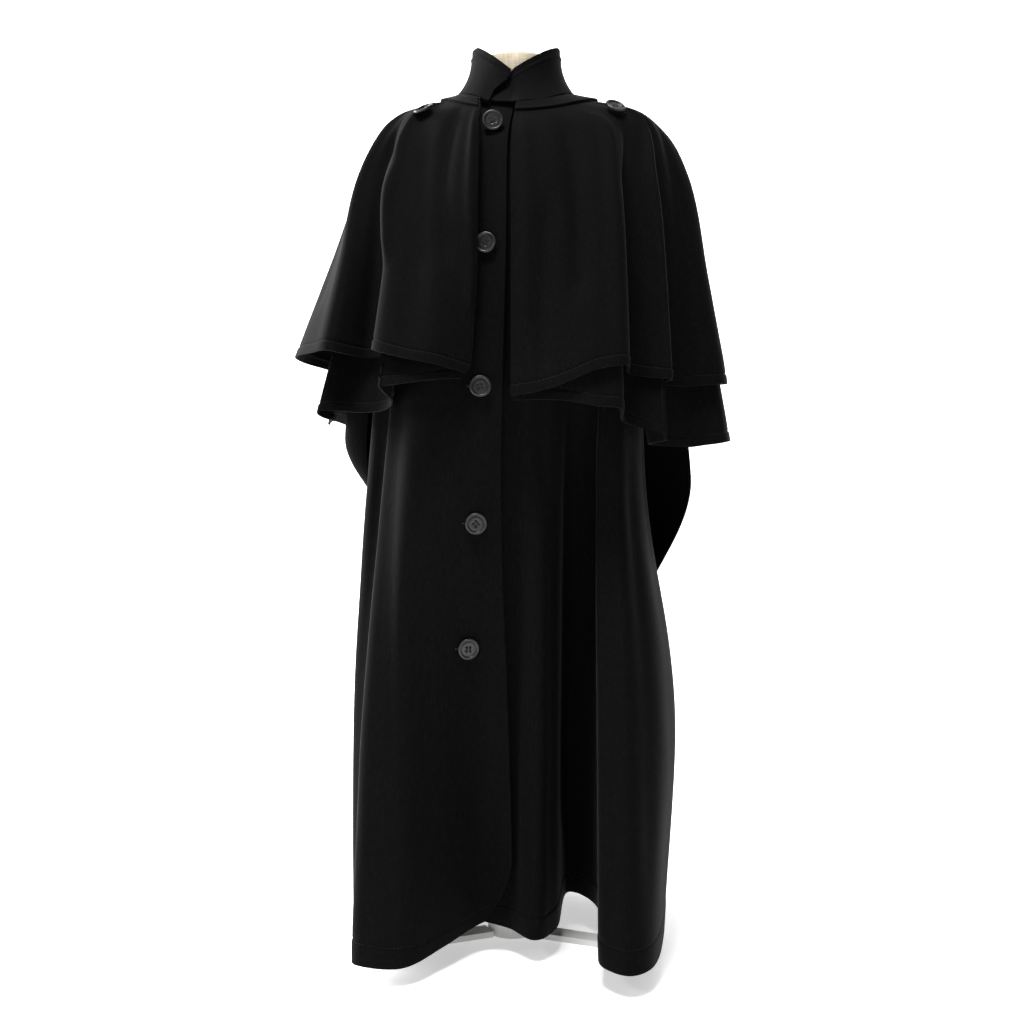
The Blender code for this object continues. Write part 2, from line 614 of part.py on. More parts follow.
def drape_at(drape, axes, wanted, start):
    """The place on a drape with the wanted coordinates on two axes, by Newton steps."""
    a, b = axes
    u, v = start
    for _ in range(NEWTON_STEPS):
        here = drape(u, v)
        by_u = (drape(u + NEWTON_PROBE, v) - here) / NEWTON_PROBE
        by_v = (drape(u, v + NEWTON_PROBE) - here) / NEWTON_PROBE
        det = by_u[a] * by_v[b] - by_v[a] * by_u[b]
        miss_a = wanted[0] - here[a]
        miss_b = wanted[1] - here[b]
        step_u = (miss_a * by_v[b] - by_v[a] * miss_b) / det
        step_v = (by_u[a] * miss_b - miss_a * by_u[b]) / det
        u = max(u + max(min(step_u, NEWTON_REACH_U), -NEWTON_REACH_U), 0.0)
        v = min(max(v + max(min(step_v, NEWTON_REACH_V), -NEWTON_REACH_V), 0.0), 1.0)
    return u, v


def build_buttons():
    for number, (z, x, turn, tilt, stand) in enumerate(FRONT_BUTTONS, 1):
        share = (BODY_SECTIONS[0][2] - z) / (BODY_SECTIONS[0][2] - WAIST_Z)
        u, v = drape_at(body_drape, (0, 2), (x, z), (SEARCH_START, SEARCH_START * share))
        normal = normal_of(body_drape, u, v)
        tilted = Quaternion((1.0, 0.0, 0.0), math.radians(tilt)) @ normal
        facing = Quaternion((0.0, 0.0, 1.0), math.radians(turn)) @ tilted
        build_button("front_button_%d" % number, body_drape(u, v) + normal * stand, facing)
    for side, x, y, faces, stand, fold in SHOULDER_BUTTONS:
        u, v = drape_at(upper_cape_drape, (0, 1), (x, y), (fold, CAPE_KNOTS[1] / 2))
        normal = normal_of(upper_cape_drape, u, v)
        centre = upper_cape_drape(u, v) + normal * stand
        build_button("shoulder_button_" + side, centre, Vector(faces).normalized())


def build_form():
    bm = bmesh.new()
    rings = []
    for z, half, front, back in FORM_SECTIONS:
        share = max(0.0, min((z - NECK_SHIFT_FROM) / NECK_SHIFT_OVER, 1.0))
        ring = []
        for k in range(FORM_SIDES):
            angle = 2 * math.pi * k / FORM_SIDES
            reach = front if math.cos(angle) > 0 else back
            ring.append(bm.verts.new((NECK_X * share + half * math.sin(angle),
                                      -reach * math.cos(angle), z)))
        rings.append(ring)
    for low, high in zip(rings, rings[1:]):
        for k in range(FORM_SIDES):
            n = (k + 1) % FORM_SIDES
            bm.faces.new((low[k], low[n], high[n], high[k]))
    bm.faces.new(rings[0])
    bm.faces.new(rings[-1])
    add_object("dress_form", bm, "linen")


def cylinder(name, centre, radius, low, high, kind):
    bm = bmesh.new()
    bmesh.ops.create_cone(bm, cap_ends=True, segments=STAND_SIDES, radius1=radius, radius2=radius,
                          depth=high - low)
    bmesh.ops.translate(bm, verts=bm.verts[:], vec=(centre[0], centre[1], (low + high) / 2))
    return add_object(name, bm, kind, smooth=False)


def build_stand():
    cylinder("stand_pole", HUB_CENTRE, POLE_RADIUS, HUB_HEIGHT + SEAM_GAP, FORM_BOTTOM - SEAM_GAP,
             "stand_paint")
    cylinder("stand_hub", HUB_CENTRE, HUB_RADIUS, 0.0, HUB_HEIGHT, "stand_paint")
    for number, bearing in enumerate(LEG_BEARINGS, 1):
        bm = bmesh.new()
        bmesh.ops.create_cube(bm, size=1.0)
        start = HUB_RADIUS + SEAM_GAP
        bmesh.ops.scale(bm, vec=(LEG_LENGTH - start, LEG_WIDTH, LEG_HEIGHT), verts=bm.verts[:])
        bmesh.ops.translate(bm, vec=((LEG_LENGTH + start) / 2, 0.0, LEG_HEIGHT / 2), verts=bm.verts[:])
        leg = add_object("stand_leg_%d" % number, bm, "stand_paint", smooth=False)
        leg.location = (HUB_CENTRE[0], HUB_CENTRE[1], 0.0)
        leg.rotation_euler = (0.0, 0.0, math.radians(bearing))


def main():
    clear_scene()
    build_body()
    build_capes()
    build_neck_band()
    build_collar()
    build_buttons()
    build_form()
    build_stand()


main()
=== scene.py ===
"""Wool cape coat with two cape tiers on a dress form: the finished look.

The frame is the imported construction. Every cloth piece is a fine shell on its solid's form:
the same sections and fold lines, sampled closely, with creases, hems and stitching added.
Metres, +Z up, the front faces -Y and +X is the side of the coat's left front.
"""
import math

import bmesh
import bpy
import numpy as np
from mathutils import Matrix, Vector, noise


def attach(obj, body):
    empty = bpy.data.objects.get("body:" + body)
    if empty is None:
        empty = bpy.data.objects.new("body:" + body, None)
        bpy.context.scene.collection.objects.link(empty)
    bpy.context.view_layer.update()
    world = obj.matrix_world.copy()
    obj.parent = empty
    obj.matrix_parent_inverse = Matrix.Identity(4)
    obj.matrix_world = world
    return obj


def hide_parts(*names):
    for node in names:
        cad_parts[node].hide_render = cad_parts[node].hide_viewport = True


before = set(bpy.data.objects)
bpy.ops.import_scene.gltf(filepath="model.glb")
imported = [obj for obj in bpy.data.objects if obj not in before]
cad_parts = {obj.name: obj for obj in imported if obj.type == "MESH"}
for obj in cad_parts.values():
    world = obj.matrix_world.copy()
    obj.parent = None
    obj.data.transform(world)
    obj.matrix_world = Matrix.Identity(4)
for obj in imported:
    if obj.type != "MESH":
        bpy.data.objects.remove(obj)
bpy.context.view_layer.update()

# ---------------------------------------------------------------- sizes shared with the construction
CLOTH = 0.0026
CAPE_LAYER = 0.0040       # one wall of cloth and the air under it
NECK_X = 0.006
LAP_DEPTH = 0.012
LAP_FROM = -342.0
LAP_TO = -356.0
HEM_RATE = 0.41
ARM_V = 0.42
BELLY_V = 0.70
NECK_OPEN = 26.0
NECK_OPEN_FADE = 90.0
WAIST_Z = 0.620
BODY_KNOTS = (0.0, 0.10, 0.25, 0.50, 0.75, 1.0)
CAPE_KNOTS = (0.0, 0.20, ARM_V, BELLY_V, 1.0)
BODY_CORNER = (0.93, 0.85)    # v where the front's lower corner starts to round, and its reach
CAPE_CORNER = (0.955, 0.16)
BAND_START = 0.05
BODY_TOP_V = -0.006       # the body's neck edge runs up a little under the collar
LEFT_TOP_V = -0.011       # and the left front's, under the placket, a little more
NORMAL_STEP = 0.01        # v to each side over which the under tier's normals are read
BROAD_STEP = 0.40         # and fold lines to each side
SLIT_TOP = 1.06           # height at which the arm slits' swing has died away
SLIT_REACH = 2.6          # fold lines over which the swing of the back dies away
SLIT_FADE = 1.5           # power of that fade
CURL_REACH = 0.5          # fold lines over which a free edge curls back in
SLITS = (
    # seam  side  bottom  swing  full  curl
    (7, -1.0, 0.602, 0.069, 0.690, 0.84),
    (18, 1.0, 0.497, 0.067, 0.636, 0.0),
)
BODY_SEAMS = (7, 18)
CAPE_SEAMS = (8, 17)
CAPE_CENTRE_BACK = 13.0
SEAM_U = 0.014            # half the gap at a seam, in fold lines
SEAM_EASE = 0.78          # share of it closed at the hem
BODY_ROWS = (150, 26, 0.045)  # rows above the hem, rows in it, and the share of v they take
CAPE_ROWS = (90, 26, 0.075)
BAND_ROWS = 20
BAND_V = 0.060            # how far down the cape the band reaches
BAND_COLUMNS = 130
COLLAR_ROWS = 44
COLLAR_COLUMNS = (60, 80)     # ahead of the collar's point, and behind it
TINY = 1e-9
MILLIMETRE = 0.001

BODY_SECTIONS = (
    # at     z_side  z_front z_back  right  left   front  back
    ("neck", 1.1580, 1.1440, 1.1620, 0.066, 0.066, 0.072, 0.058),
    ("shoulder", 1.1120, 1.0780, 1.0960, 0.128, 0.150, 0.112, 0.096),
    ("chest", 0.9300, 0.9300, 0.9300, 0.172, 0.180, 0.146, 0.125),
)
BODY_FOLDS = (
    # bearing  waist x  waist y   hem x   hem y   hem z  belly
    (-2.6, -0.014, -0.150, 0.002, -0.108, 0.060, 0.000),
    (-14.0, -0.055, -0.158, -0.042, -0.088, 0.040, 0.000),
    (-27.0, -0.110, -0.160, -0.088, -0.150, 0.030, 0.000),
    (-40.0, -0.150, -0.144, -0.138, -0.212, 0.024, -0.004),
    (-52.0, -0.166, -0.112, -0.196, -0.194, 0.024, -0.008),
    (-64.0, -0.174, -0.058, -0.198, -0.132, 0.030, -0.009),
    (-78.0, -0.200, -0.030, -0.210, -0.080, 0.032, -0.008),
    (-92.0, -0.196, 0.015, -0.214, -0.020, 0.034, -0.006),
    (-108.0, -0.175, 0.070, -0.190, 0.060, 0.032, 0.000),
    (-124.0, -0.160, 0.118, -0.200, 0.150, 0.028, 0.000),
    (-140.0, -0.112, 0.128, -0.140, 0.182, 0.030, 0.000),
    (-156.0, -0.080, 0.158, -0.095, 0.150, 0.034, 0.000),
    (-170.0, -0.030, 0.146, -0.040, 0.214, 0.028, 0.000),
    (-184.0, 0.020, 0.162, 0.015, 0.164, 0.034, 0.000),
    (-200.0, 0.070, 0.146, 0.075, 0.214, 0.028, 0.000),
    (-216.0, 0.115, 0.148, 0.125, 0.165, 0.032, 0.000),
    (-232.0, 0.152, 0.112, 0.182, 0.168, 0.028, 0.004),
    (-248.0, 0.180, 0.075, 0.182, 0.080, 0.032, 0.010),
    (-264.0, 0.188, 0.020, 0.210, 0.010, 0.032, 0.025),
    (-280.0, 0.184, -0.040, 0.200, -0.110, 0.028, 0.027),
    (-294.0, 0.166, -0.088, 0.176, -0.218, 0.028, 0.014),
    (-306.0, 0.142, -0.112, 0.140, -0.246, 0.028, 0.004),
    (-316.0, 0.116, -0.098, 0.112, -0.195, 0.030, 0.000),
    (-324.0, 0.111, -0.068, 0.118, -0.040, 0.044, 0.000),
    (-332.0, 0.082, -0.074, 0.078, 0.010, 0.050, 0.000),
    (-340.0, 0.058, -0.108, 0.060, -0.085, 0.034, 0.000),
    (-348.0, 0.030, -0.128, 0.028, -0.124, 0.030, 0.000),
    (-356.0, 0.000, -0.134, -0.004, -0.092, 0.034, 0.000),
    (-368.0, -0.038, -0.138, -0.042, -0.066, 0.036, 0.000),
)
CAPE_SECTIONS = (
    ("neck", 1.1635, 1.1380, 1.1740, 0.081, 0.081, 0.089, 0.073),
    ("shoulder", 1.1370, 1.0900, 1.1150, 0.154, 0.190, 0.128, 0.110),
    ("arm", 1.0550, 1.0000, 1.0200, 0.206, 0.240, 0.158, 0.140),
)
CAPE_FOLDS = (
    # bearing turn   arm    hem x   hem y   hem z  belly  drop   inset
    (-12.5, -4.0, -0.002, -0.053, -0.176, 0.770, 0.004, 0.004, 0.010),
    (-25.0, -4.0, 0.004, -0.092, -0.200, 0.781, 0.002, 0.016, 0.012),
    (-37.5, -4.0, -0.002, -0.140, -0.204, 0.791, 0.003, 0.030, 0.014),
    (-50.0, -4.0, 0.012, -0.178, -0.186, 0.801, 0.006, 0.046, 0.016),
    (-60.0, -3.0, -0.016, -0.162, -0.132, 0.801, 0.004, 0.066, 0.007),
    (-68.0, -2.0, -0.022, -0.190, -0.092, 0.797, 0.002, 0.068, 0.010),
    (-77.0, 0.0, 0.000, -0.238, -0.128, 0.802, 0.000, 0.066, 0.046),
    (-88.0, 0.0, 0.004, -0.290, -0.066, 0.802, 0.000, 0.064, 0.074),
    (-102.0, 0.0, 0.000, -0.297, 0.015, 0.797, 0.000, 0.054, 0.076),
    (-118.0, 0.0, -0.006, -0.262, 0.095, 0.788, 0.000, 0.058, 0.044),
    (-134.0, 0.0, 0.008, -0.220, 0.178, 0.778, 0.000, 0.068, 0.020),
    (-150.0, 0.0, -0.006, -0.142, 0.168, 0.778, 0.000, 0.072, 0.014),
    (-166.0, 0.0, 0.006, -0.086, 0.226, 0.770, 0.000, 0.070, 0.016),
    (-182.0, 0.0, -0.004, 0.000, 0.186, 0.774, 0.000, 0.074, 0.014),
    (-198.0, 0.0, 0.006, 0.088, 0.222, 0.768, 0.000, 0.070, 0.016),
    (-214.0, 0.0, -0.006, 0.146, 0.170, 0.774, 0.000, 0.074, 0.014),
    (-230.0, 0.0, 0.006, 0.226, 0.176, 0.766, 0.000, 0.074, 0.018),
    (-248.0, 0.0, -0.004, 0.264, 0.098, 0.768, 0.000, 0.074, 0.016),
    (-262.0, 0.0, 0.004, 0.301, 0.030, 0.766, 0.000, 0.064, 0.011),
    (-275.0, 1.0, 0.002, 0.288, -0.044, 0.764, 0.000, 0.064, 0.012),
    (-286.0, 4.0, -0.014, 0.238, -0.058, 0.760, 0.000, 0.066, 0.018),
    (-298.0, 9.0, -0.024, 0.194, -0.082, 0.762, 0.000, 0.068, 0.009),
    (-308.5, 12.0, 0.002, 0.204, -0.146, 0.765, 0.002, 0.068, 0.010),
    (-317.0, 11.0, -0.010, 0.158, -0.134, 0.772, 0.000, 0.060, 0.009),
    (-325.5, 8.0, 0.006, 0.146, -0.184, 0.780, 0.002, 0.054, 0.009),
    (-333.0, 5.0, 0.004, 0.108, -0.202, 0.776, 0.000, 0.044, 0.012),
    (-341.5, 2.0, 0.000, 0.064, -0.196, 0.758, 0.000, 0.018, 0.013),
    (-351.0, 0.0, 0.000, 0.030, -0.186, 0.748, 0.000, 0.008, 0.012),
    (-360.3, 0.0, 0.000, -0.002, -0.178, 0.743, 0.000, 0.004, 0.012),
)
CAPE_DROP = 7
CAPE_INSET = 8
COLLAR_FOOT = (
    # bearing  height
    (0.0, 1.1420),
    (24.0, 1.1460),
    (48.0, 1.1580),
    (64.0, 1.1640),
    (90.0, 1.1695),
    (135.0, 1.1760),
    (180.0, 1.1790),
)
COLLAR_MEET = -6.0
COLLAR_MEET_Z = 1.1890
COLLAR_POINTS = (
    # side   bearing height
    ("right", -60.0, 1.2275),
    ("left", 70.0, 1.2300),
)
COLLAR_BACK_Z = 1.2310
COLLAR_FOOT_RADIUS = (0.0800, 0.0875, 0.0720)
COLLAR_TOP_RADIUS = (0.0600, 0.0640, 0.0620)
COLLAR_FLARE = 2.6
COLLAR_CUT = (
    # v     bearing of the right half's front edge
    (0.0, -28.0),
    (0.29, -26.0),
    (0.63, -12.0),
    (1.0, -6.5),
)
COLLAR_TUCK = (
    # bearing  how far inside the left half's end lies
    (-32.0, 0.0065),
    (-7.0, 0.0065),
    (0.0, 0.0),
)
COLLAR_TUCK_SINK = 0.0025
COLLAR_SEAM = 179.94
COLLAR_DROP = 0.0020      # the collar's foot reaches down to the band's seam
COLLAR_DIPS = {"right": (0.0032, 28.0, 9.0), "left": (0.0014, 20.0, 16.0)}   # and over the placket
FORM_SECTIONS = (
    # z      half   front  back
    (0.500, 0.114, 0.052, 0.098),
    (0.560, 0.122, 0.058, 0.104),
    (0.660, 0.124, 0.070, 0.104),
    (0.780, 0.112, 0.084, 0.090),
    (0.900, 0.124, 0.104, 0.088),
    (1.000, 0.140, 0.112, 0.096),
    (1.060, 0.142, 0.096, 0.092),
    (1.095, 0.126, 0.076, 0.076),
    (1.120, 0.098, 0.062, 0.062),
    (1.140, 0.068, 0.054, 0.054),
    (1.160, 0.053, 0.052, 0.052),
    (1.218, 0.050, 0.052, 0.050),
)
NECK_SHIFT_FROM = 1.06    # height from which the form leans to the neck's middle
NECK_SHIFT_OVER = 0.08    # and the height over which it does
FORM_ROWS = 110
FORM_COLUMNS = 96
FORM_RIM_START = 0.004    # below the form's top, where its rolled rim starts
FORM_RIM = (
    # below the top  inset
    (0.0015, 0.0006),
    (0.0004, 0.0018),
    (0.0, 0.0036),
)

# ---------------------------------------------------------------- creases, placed one by one
# u is the fold line, v runs from neck to hem. Each crease goes from (u0, v0) to (u1, v1) and
# stands off the cloth by height in millimetres (+ a ridge, - a trough) over width fold lines.
BODY_CREASES = (
    # u0    v0    u1    v1    width  height
    (0.9, 0.40, 1.0, 1.05, 0.42, 1.6),
    (2.0, 0.34, 2.2, 0.94, 0.50, -2.0),
    (3.15, 0.30, 3.2, 1.05, 0.34, -3.4),
    (3.75, 0.24, 4.0, 1.08, 0.26, 7.0),
    (4.75, 0.26, 4.8, 1.04, 0.30, -8.5),
    (5.6, 0.30, 5.7, 1.08, 0.32, 5.5),
    (6.3, 0.36, 6.3, 0.92, 0.30, -4.5),
    (8.2, 0.30, 8.6, 1.05, 0.45, -5.0),
    (9.3, 0.22, 9.2, 0.86, 0.40, 4.4),
    (10.6, 0.34, 10.9, 1.05, 0.50, -5.4),
    (12.1, 0.26, 12.0, 1.05, 0.42, 4.8),
    (13.2, 0.20, 13.0, 0.92, 0.46, -5.6),
    (14.2, 0.30, 14.3, 1.05, 0.40, 4.2),
    (15.4, 0.24, 15.1, 0.90, 0.44, -4.6),
    (16.5, 0.36, 16.7, 1.05, 0.38, 4.8),
    (19.0, 0.34, 19.2, 1.00, 0.42, -3.4),
    (20.3, 0.40, 20.2, 0.98, 0.30, -3.6),
    (21.0, 0.30, 21.0, 1.08, 0.34, 3.0),
    (21.9, 0.28, 21.8, 1.08, 0.26, 5.5),
    (24.1, 0.34, 24.1, 0.98, 0.46, -8.0),
    (25.35, 0.26, 25.3, 0.60, 0.26, 3.4),
    (25.7, 0.44, 25.8, 1.06, 0.34, 7.0),
    (26.9, 0.30, 26.9, 1.02, 0.34, -4.5),
)
CAPE_CREASES = (
    (0.0, 0.06, 0.0, 0.90, 0.07, -2.0),
    (0.26, 0.04, 0.20, 0.84, 0.15, 5.5),
    (1.30, 0.05, 0.85, 0.70, 0.30, -7.0),
    (1.25, 0.56, 1.2, 1.05, 0.30, 3.0),
    (2.05, 0.50, 1.9, 1.02, 0.30, -3.6),
    (3.7, 0.04, 2.70, 0.40, 0.24, 9.0),
    (2.75, 0.30, 2.95, 0.74, 0.20, 7.0),
    (5.2, 0.18, 5.1, 1.05, 0.30, -6.0),
    (6.2, 0.12, 6.1, 1.08, 0.26, 8.0),
    (6.9, 0.20, 6.9, 0.92, 0.28, -4.0),
    (8.9, 0.20, 9.2, 1.05, 0.40, -4.6),
    (10.1, 0.14, 10.2, 0.90, 0.42, 4.2),
    (11.4, 0.18, 11.2, 1.05, 0.44, -5.2),
    (12.6, 0.10, 12.4, 1.05, 0.40, 4.0),
    (13.8, 0.20, 13.9, 0.88, 0.42, -4.2),
    (15.0, 0.14, 15.2, 1.05, 0.40, -4.4),
    (16.0, 0.20, 16.1, 1.05, 0.36, 4.8),
    (18.6, 0.18, 18.8, 1.05, 0.34, 3.6),
    (19.8, 0.20, 19.9, 0.92, 0.34, -3.4),
    (21.1, 0.12, 21.1, 1.05, 0.34, -6.5),
    (22.1, 0.05, 22.0, 1.08, 0.20, 5.6),
    (23.4, 0.14, 23.3, 1.05, 0.26, -5.2),
    (24.3, 0.10, 24.2, 1.08, 0.36, 7.0),
    (26.0, 0.08, 25.5, 0.80, 0.36, -7.0),
    (26.8, 0.36, 26.8, 1.00, 0.32, -3.6),
    (27.45, 0.06, 27.5, 0.86, 0.30, 3.2),
)
CREASE_RISE = 0.16        # v over which a crease starts
CREASE_FALL = 0.12        # and dies away
FLUTTER = 0.0009          # height of the cloth's fine unevenness
FLUTTER_SIZE = 0.055      # and its length
FLUTTER_STRETCH = 0.4     # longer down the cloth than across it
SETTLE_V = 0.08           # v at the neck over which creases and flutter set in

HEM_DEPTH = 0.014         # turned hem of the cape tiers
BODY_HEM_DEPTH = 0.030
BAND_STITCH = 0.003       # stitching above the band's lower edge
COLLAR_STITCH = 0.0115    # and below the collar's top edge
HEM_RISE = 0.0008         # how much the turned hem stands out
HEM_STEP = 0.002          # length of cloth over which it does
STITCH_SINK = 0.0010      # how deep the stitching pulls the cloth in
STITCH_WIDTH = 0.0016
EDGE_BEVEL = 0.0009
EDGE_ANGLE = 50.0
STITCH_LENGTH = 0.0034
STITCH_PITCH = 0.0050
STITCH_START = 0.15       # share of a pitch before the first stitch
THREAD_RADIUS = 0.00024
THREAD_BURIED = 0.5       # share of its radius that a thread's middle lies in the cloth
THREAD_SIDES = 6

BUTTON_RADIUS = 0.0140
BUTTON_HEIGHT = 0.0042
BUTTON_STEPS = 56
BUTTON_UNDERSIDE = ((0.0, 0.0), (0.80, 0.0), (0.93, 0.12), (0.99, 0.34))   # shares of radius and height
BUTTON_RIM = {"x": 0.885, "reach_x": 0.115, "z": 0.66, "reach_z": 0.34, "from": -20, "step": 25, "count": 9}
BUTTON_DISH = ((0.75, 0.56), (0.72, 0.40), (0.68, 0.38), (0.65, 0.52), (0.62, 0.55), (0.45, 0.51),
               (0.20, 0.48), (0.0, 0.48))
MERGE_DISTANCE = 1e-6
SHOULDER_UP = 1.2         # a shoulder button's face looks up more than out
HOLE_RADIUS = 0.00140
HOLE_REACH = 0.0031       # from the button's centre to each hole
HOLE_SIDES = 16
BAR_RADIUS = 0.00042      # thread bars between the holes, two lanes to a bar
BAR_LANE = 0.0004
BAR_HEIGHT = 0.56         # share of the button's height
BAR_SIDES = 8
BUTTONHOLES = ("front_button_2", "front_button_3", "front_button_4", "front_button_5")
BUTTONHOLE_LENGTH = 0.0070
BUTTONHOLE_GAP = 0.0005
BUTTONHOLE_THREAD = 0.00045
BUTTONHOLE_DEPTH = 0.0009   # below the button's underside
BUTTON_TURNS = {"front_button_1": 24.0, "front_button_2": 60.0, "front_button_3": 12.0,
                "front_button_4": 45.0, "front_button_5": 0.0}

# ---------------------------------------------------------------- tones and studio
# Each ramp runs through its places, with a colour at each.
WOOL_TONES = ((0.30, (0.0016, 0.0016, 0.0017)), (0.52, (0.0026, 0.0026, 0.0028)),
              (0.74, (0.0044, 0.0044, 0.0047)))
THREAD_TONES = ((0.35, (0.002, 0.002, 0.002)), (0.70, (0.005, 0.005, 0.005)))
BUTTON_TONES = ((0.35, (0.014, 0.014, 0.015)), (0.75, (0.019, 0.018, 0.018)))
BUTTON_ROUGHNESS = (0.30, 0.38)
LINEN_TONES = ((0.34, (0.47, 0.39, 0.28)), (0.52, (0.66, 0.57, 0.43)), (0.70, (0.80, 0.72, 0.58)))
PAINT_TONES = ((0.3, (0.76, 0.76, 0.74)), (0.7, (0.83, 0.83, 0.81)))
FLOOR_TONES = ((0.3, (0.87, 0.87, 0.87)), (0.7, (0.89, 0.89, 0.89)))
FLOOR_GLOW = 0.50
FLOOR_HALF_WIDTH = 9.0
FLOOR_FRONT = -4.5
FLOOR_LENGTH = 6.5
FLOOR_SHARE = 0.45        # share of the sweep's rows that lie flat
BEND_SHARE = 0.30         # and in the bend up to the wall
BEND_RADIUS = 1.6
WALL_HEIGHT = 5.0
SWEEP_ROWS = 48
WORLD_COLOUR = (0.96, 0.97, 1.0, 1.0)
WORLD_STRENGTH = 0.16
LIGHTS = (
    # name  place             aim               size        watts
    ("key", (-2.8, -2.0, 2.6), (0.0, 0.0, 0.95), (0.8, 0.8), 34.0),
    ("side", (-2.8, 0.9, 1.6), (0.0, 0.0, 0.70), (0.8, 1.8), 260.0),
    ("top", (-0.4, -1.0, 3.6), (0.0, 0.0, 1.0), (1.0, 0.8), 115.0),
    ("wall", (0.0, 1.0, 3.6), (0.0, 4.0, 2.1), (4.0, 1.0), 130.0),
)
CAMERA_PLACE = (0.0, -2.0, 0.68)
CAMERA_SENSOR = 36.0
CAMERA_LENS = 50.2
CAMERA_SHIFT = -0.0654


# ---------------------------------------------------------------- curves and drapes
def weights(knots, t):
    """Rows of weights that read a cubic through values at the knots, straight beyond the end."""
    knots = np.asarray(knots, dtype=float)
    t = np.atleast_1d(np.asarray(t, dtype=float))
    last = len(knots) - 1
    slopes = np.zeros((last + 1, last + 1))
    for i in range(last + 1):
        low = max(i - 1, 0)
        high = min(i + 1, last)
        slopes[i, high] += 1 / (knots[high] - knots[low])
        slopes[i, low] -= 1 / (knots[high] - knots[low])
    start = np.clip(np.searchsorted(knots, t, side="right") - 1, 0, last - 1)
    span = knots[start + 1] - knots[start]
    s = (t - knots[start]) / span
    rows = np.arange(len(t))
    out = (span * (s ** 3 - 2 * s ** 2 + s))[:, None] * slopes[start]
    out += (span * (s ** 3 - s ** 2))[:, None] * slopes[start + 1]
    out[rows, start] += 2 * s ** 3 - 3 * s ** 2 + 1
    out[rows, start + 1] += 3 * s ** 2 - 2 * s ** 3
    beyond = t >= knots[last]
    out[beyond] = slopes[last] * (t[beyond] - knots[last])[:, None]
    out[beyond, last] += 1
    return out


def section_point(section, bearing, centre_x):
    """A point on a section: an oval whose height changes from its front and back to its sides."""
    _, z_side, z_front, z_back, right, left, front, back = section
    across = math.sin(math.radians(bearing))
    along = math.cos(math.radians(bearing))
    reach_x = left if across > 0 else right
    reach_y = front if along > 0 else back
    z_end = z_front if along > 0 else z_back
    return np.array((centre_x + reach_x * across, -reach_y * along,
                     z_end + (z_side - z_end) * across * across))


def bowed(start, end, share, belly):
    """Two points and one between them, bowed sideways by belly."""
    return [start, start + (end - start) * share + (belly, 0.0, 0.0), end]


def body_ribs(v):
    """Every body fold line at the given v: an array of ribs by rows by coordinates."""
    read = weights(BODY_KNOTS, v)
    ribs = []
    for bearing, waist_x, waist_y, hem_x, hem_y, hem_z, belly in BODY_FOLDS:
        points = [section_point(BODY_SECTIONS[0], bearing, NECK_X)]
        points += [section_point(section, bearing, 0.0) for section in BODY_SECTIONS[1:]]
        lap = LAP_DEPTH * min(max((LAP_FROM - bearing) / (LAP_FROM - LAP_TO), 0.0), 1.0)
        points = [point + (0.0, lap, 0.0) for point in points]
        waist = np.array((waist_x, waist_y, WAIST_Z))
        points += bowed(waist, np.array((hem_x, hem_y, hem_z)), 0.5, belly)
        ribs.append(read @ np.array(points))
    return np.array(ribs)


def cape_ribs(v, longer):
    """Every cape fold line at the given v; longer runs them on by each row's drop."""
    ribs = []
    for row in CAPE_FOLDS:
        bearing, turn, arm_out, hem_x, hem_y, hem_z, belly = row[:CAPE_DROP]
        opening = NECK_OPEN * max(0.0, 1 + (bearing - CAPE_FOLDS[0][0]) / NECK_OPEN_FADE)
        angle = math.radians(bearing)
        neck = section_point(CAPE_SECTIONS[0], bearing - opening, NECK_X)
        shoulder = section_point(CAPE_SECTIONS[1], bearing + turn, 0.0)
        arm = section_point(CAPE_SECTIONS[2], bearing, 0.0)
        arm = arm + arm_out * np.array((math.sin(angle), -math.cos(angle), 0.0))
        share = (BELLY_V - ARM_V) / (1 - ARM_V)
        points = [neck, shoulder] + bowed(arm, np.array((hem_x, hem_y, hem_z)), share, belly)
        stretch = row[CAPE_DROP] / HEM_RATE / (1 - ARM_V) if longer else 0.0
        ribs.append(weights(CAPE_KNOTS, v + stretch * np.maximum(v - ARM_V, 0.0)) @ np.array(points))
    return np.array(ribs)


def across(ribs, u):
    """Points of a drape: u holds a row of fold line numbers for each row of the ribs."""
    rows = [weights(range(len(ribs)), u[j]) @ ribs[:, j] for j in range(len(u))]
    return np.array(rows)


def normals_of(points):
    """Outward normals of a grid of points, rows down the cloth and columns clockwise."""
    normal = np.cross(np.gradient(points, axis=1), np.gradient(points, axis=0))
    return normal / np.maximum(np.linalg.norm(normal, axis=2, keepdims=True), TINY)


def body_grid(u, v):
    """The body cloth of the fronts."""
    return across(body_ribs(v), u)


def back_grid(u, v):
    """The body cloth with the back's side edges swung out above the side seams."""
    points = body_grid(u, v)
    for seam, side, bottom, swing, full, curl in SLITS:
        nearness = np.clip(1 - np.abs(u - seam) / SLIT_REACH, 0, 1) ** SLIT_FADE
        nearness *= 1 - curl * np.clip(1 - np.abs(u - seam) / CURL_REACH, 0, 1) ** 2
        rise = np.clip((points[:, :, 2] - bottom) / (full - bottom), 0, 1)
        fade = np.clip((points[:, :, 2] - full) / (SLIT_TOP - full), 0, 1)
        bow = (3 * rise - rise ** 3) / 2 * (1 + np.cos(math.pi * fade)) / 2
        points[:, :, 0] += side * swing * bow * nearness
    return points


def upper_cape_grid(u, v):
    """The upper tier."""
    return across(cape_ribs(v, False), u)


